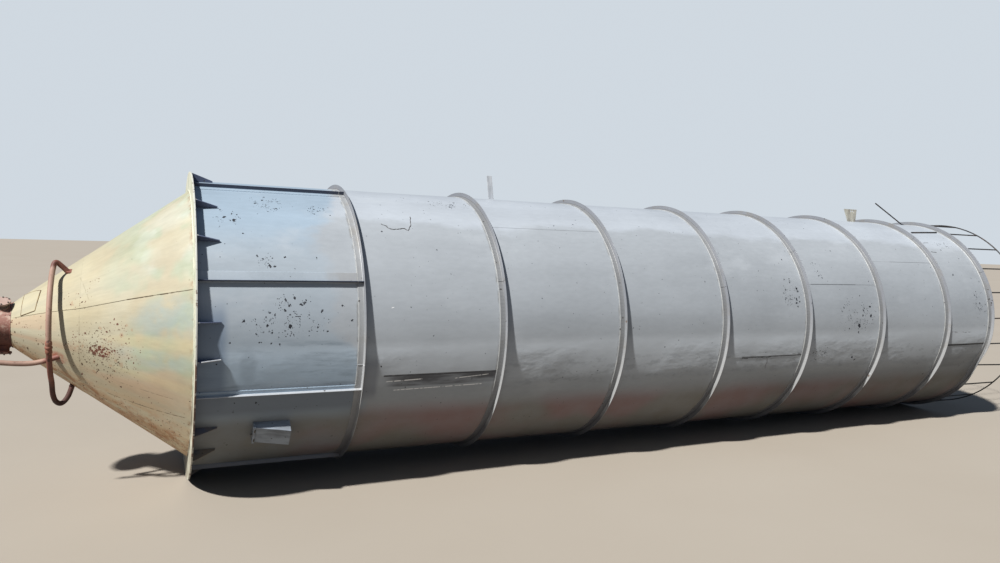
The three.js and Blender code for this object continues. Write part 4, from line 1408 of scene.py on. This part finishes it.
def thread(crack, seed, finer=6):
    """A crack: each stretch is cut into finer ones, and each new point is shaken a little."""
    dice = np.random.default_rng(seed)
    x, angle = np.array(crack).T
    t = np.linspace(0, len(x) - 1, (len(x) - 1) * finer + 1)
    shake = THREAD_SHAKE * (t % 1 > 0)
    knots = np.arange(len(x))
    x = np.interp(t, knots, x) + dice.uniform(-1, 1, len(t)) * shake
    angle = np.interp(t, knots, angle) + dice.uniform(-1, 1, len(t)) * np.degrees(shake / SHELL_R)
    return tube(around(x, SHELL_R + 0.0005, angle), dice.uniform(*THREAD_RADII, len(t)), 6)


threads = [thread(crack, 90 + number) for number, crack in enumerate(CRACKS)]
last_bar = tube(around([8.581, 9.137], SHELL_R + 0.006, [63.0, 65.4]), 0.010, 10)
cracks = build("seam_cracks", threads, CRACK_DIRT)
bar_left = build("roof_bay_bar", [last_bar], DARK_BAR)
print("threads:", len(threads), "faces:", count_of(cracks, bar_left))

# %% [markdown]
# ## Floor and light
# The silo lies on a pale studio floor. The sun comes from the cone side, a little towards the camera and 48
# degrees high, which puts the shade line low on the near side. A pale sky fills the shade.

# %% Floor, sun and sky
FLOOR_SIZE = 400.0
SUN_TRAVEL = (0.598, 0.287, -0.749)
SUN_STRENGTH = 6.9
SUN_SPREAD = 2.5
SUN_COLOUR = (1.0, 0.985, 0.955)
FILL = 0.20
BACKDROP = 0.75
FILL_COLOUR = (0.55, 0.72, 1.0, 1.0)
SKY_COLOUR = (0.84, 0.92, 1.0, 1.0)

floor_mesh = bpy.data.meshes.new("studio_floor")
half = FLOOR_SIZE / 2
corners = [(-half, -half, 0), (half, -half, 0), (half, half, 0), (-half, half, 0)]
floor_mesh.from_pydata(corners, [], [(0, 1, 2, 3)])
floor_finish = Finish("studio_floor")
clouds = floor_finish.noise(0.5, 4)
floor_finish.paint = floor_finish.blend("958c80", "9c9489", clouds)
seen = floor_finish.node("ShaderNodeLightPath")
floor_finish.shade(seen * 0.4 + 0.6)
floor_mesh.materials.append(floor_finish.done(0.8))
floor = bpy.data.objects.new("studio_floor", floor_mesh)
bpy.context.scene.collection.objects.link(floor)
floor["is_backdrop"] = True

sun_light = bpy.data.lights.new("sun", "SUN")
sun_light.energy = SUN_STRENGTH
sun_light.angle = np.radians(SUN_SPREAD)
sun_light.color = SUN_COLOUR
sun = bpy.data.objects.new("sun", sun_light)
sun.rotation_euler = Vector((LEAN @ SUN_TRAVEL).tolist()).to_track_quat("-Z", "Y").to_euler()
bpy.context.scene.collection.objects.link(sun)

sky = bpy.data.worlds.new("pale_sky")
sky.use_nodes = True
sky_nodes, sky_links = sky.node_tree.nodes, sky.node_tree.links
backdrop = sky_nodes["Background"]
fill_switch = sky_nodes.new("ShaderNodeLightPath")
colour = sky_nodes.new("ShaderNodeMix")
colour.data_type = "RGBA"
colour.inputs[6].default_value = FILL_COLOUR
colour.inputs[7].default_value = SKY_COLOUR
sky_links.new(fill_switch.outputs["Is Camera Ray"], colour.inputs[0])
sky_links.new(colour.outputs[2], backdrop.inputs["Color"])
strength = sky_nodes.new("ShaderNodeMapRange")
strength.inputs["To Min"].default_value = FILL
strength.inputs["To Max"].default_value = BACKDROP
sky_links.new(fill_switch.outputs["Is Camera Ray"], strength.inputs["Value"])
sky_links.new(strength.outputs["Result"], backdrop.inputs["Strength"])
bpy.context.scene.world = sky
bpy.context.scene.view_settings.view_transform = "Standard"
print("view transform:", bpy.context.scene.view_settings.view_transform)

# %% [markdown]
# ## Sizes at the end
# The visual model must keep to the engineering model's box, so both boxes are printed.

# %% Sizes and end
visual_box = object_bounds()
boxes = {
    "cad": [list(corner) for corner in cad_box],
    "visual": [list(corner) for corner in visual_box],
}
for label, (low, high) in boxes.items():
    print(label, np.round(low, 4), np.round(high, 4))
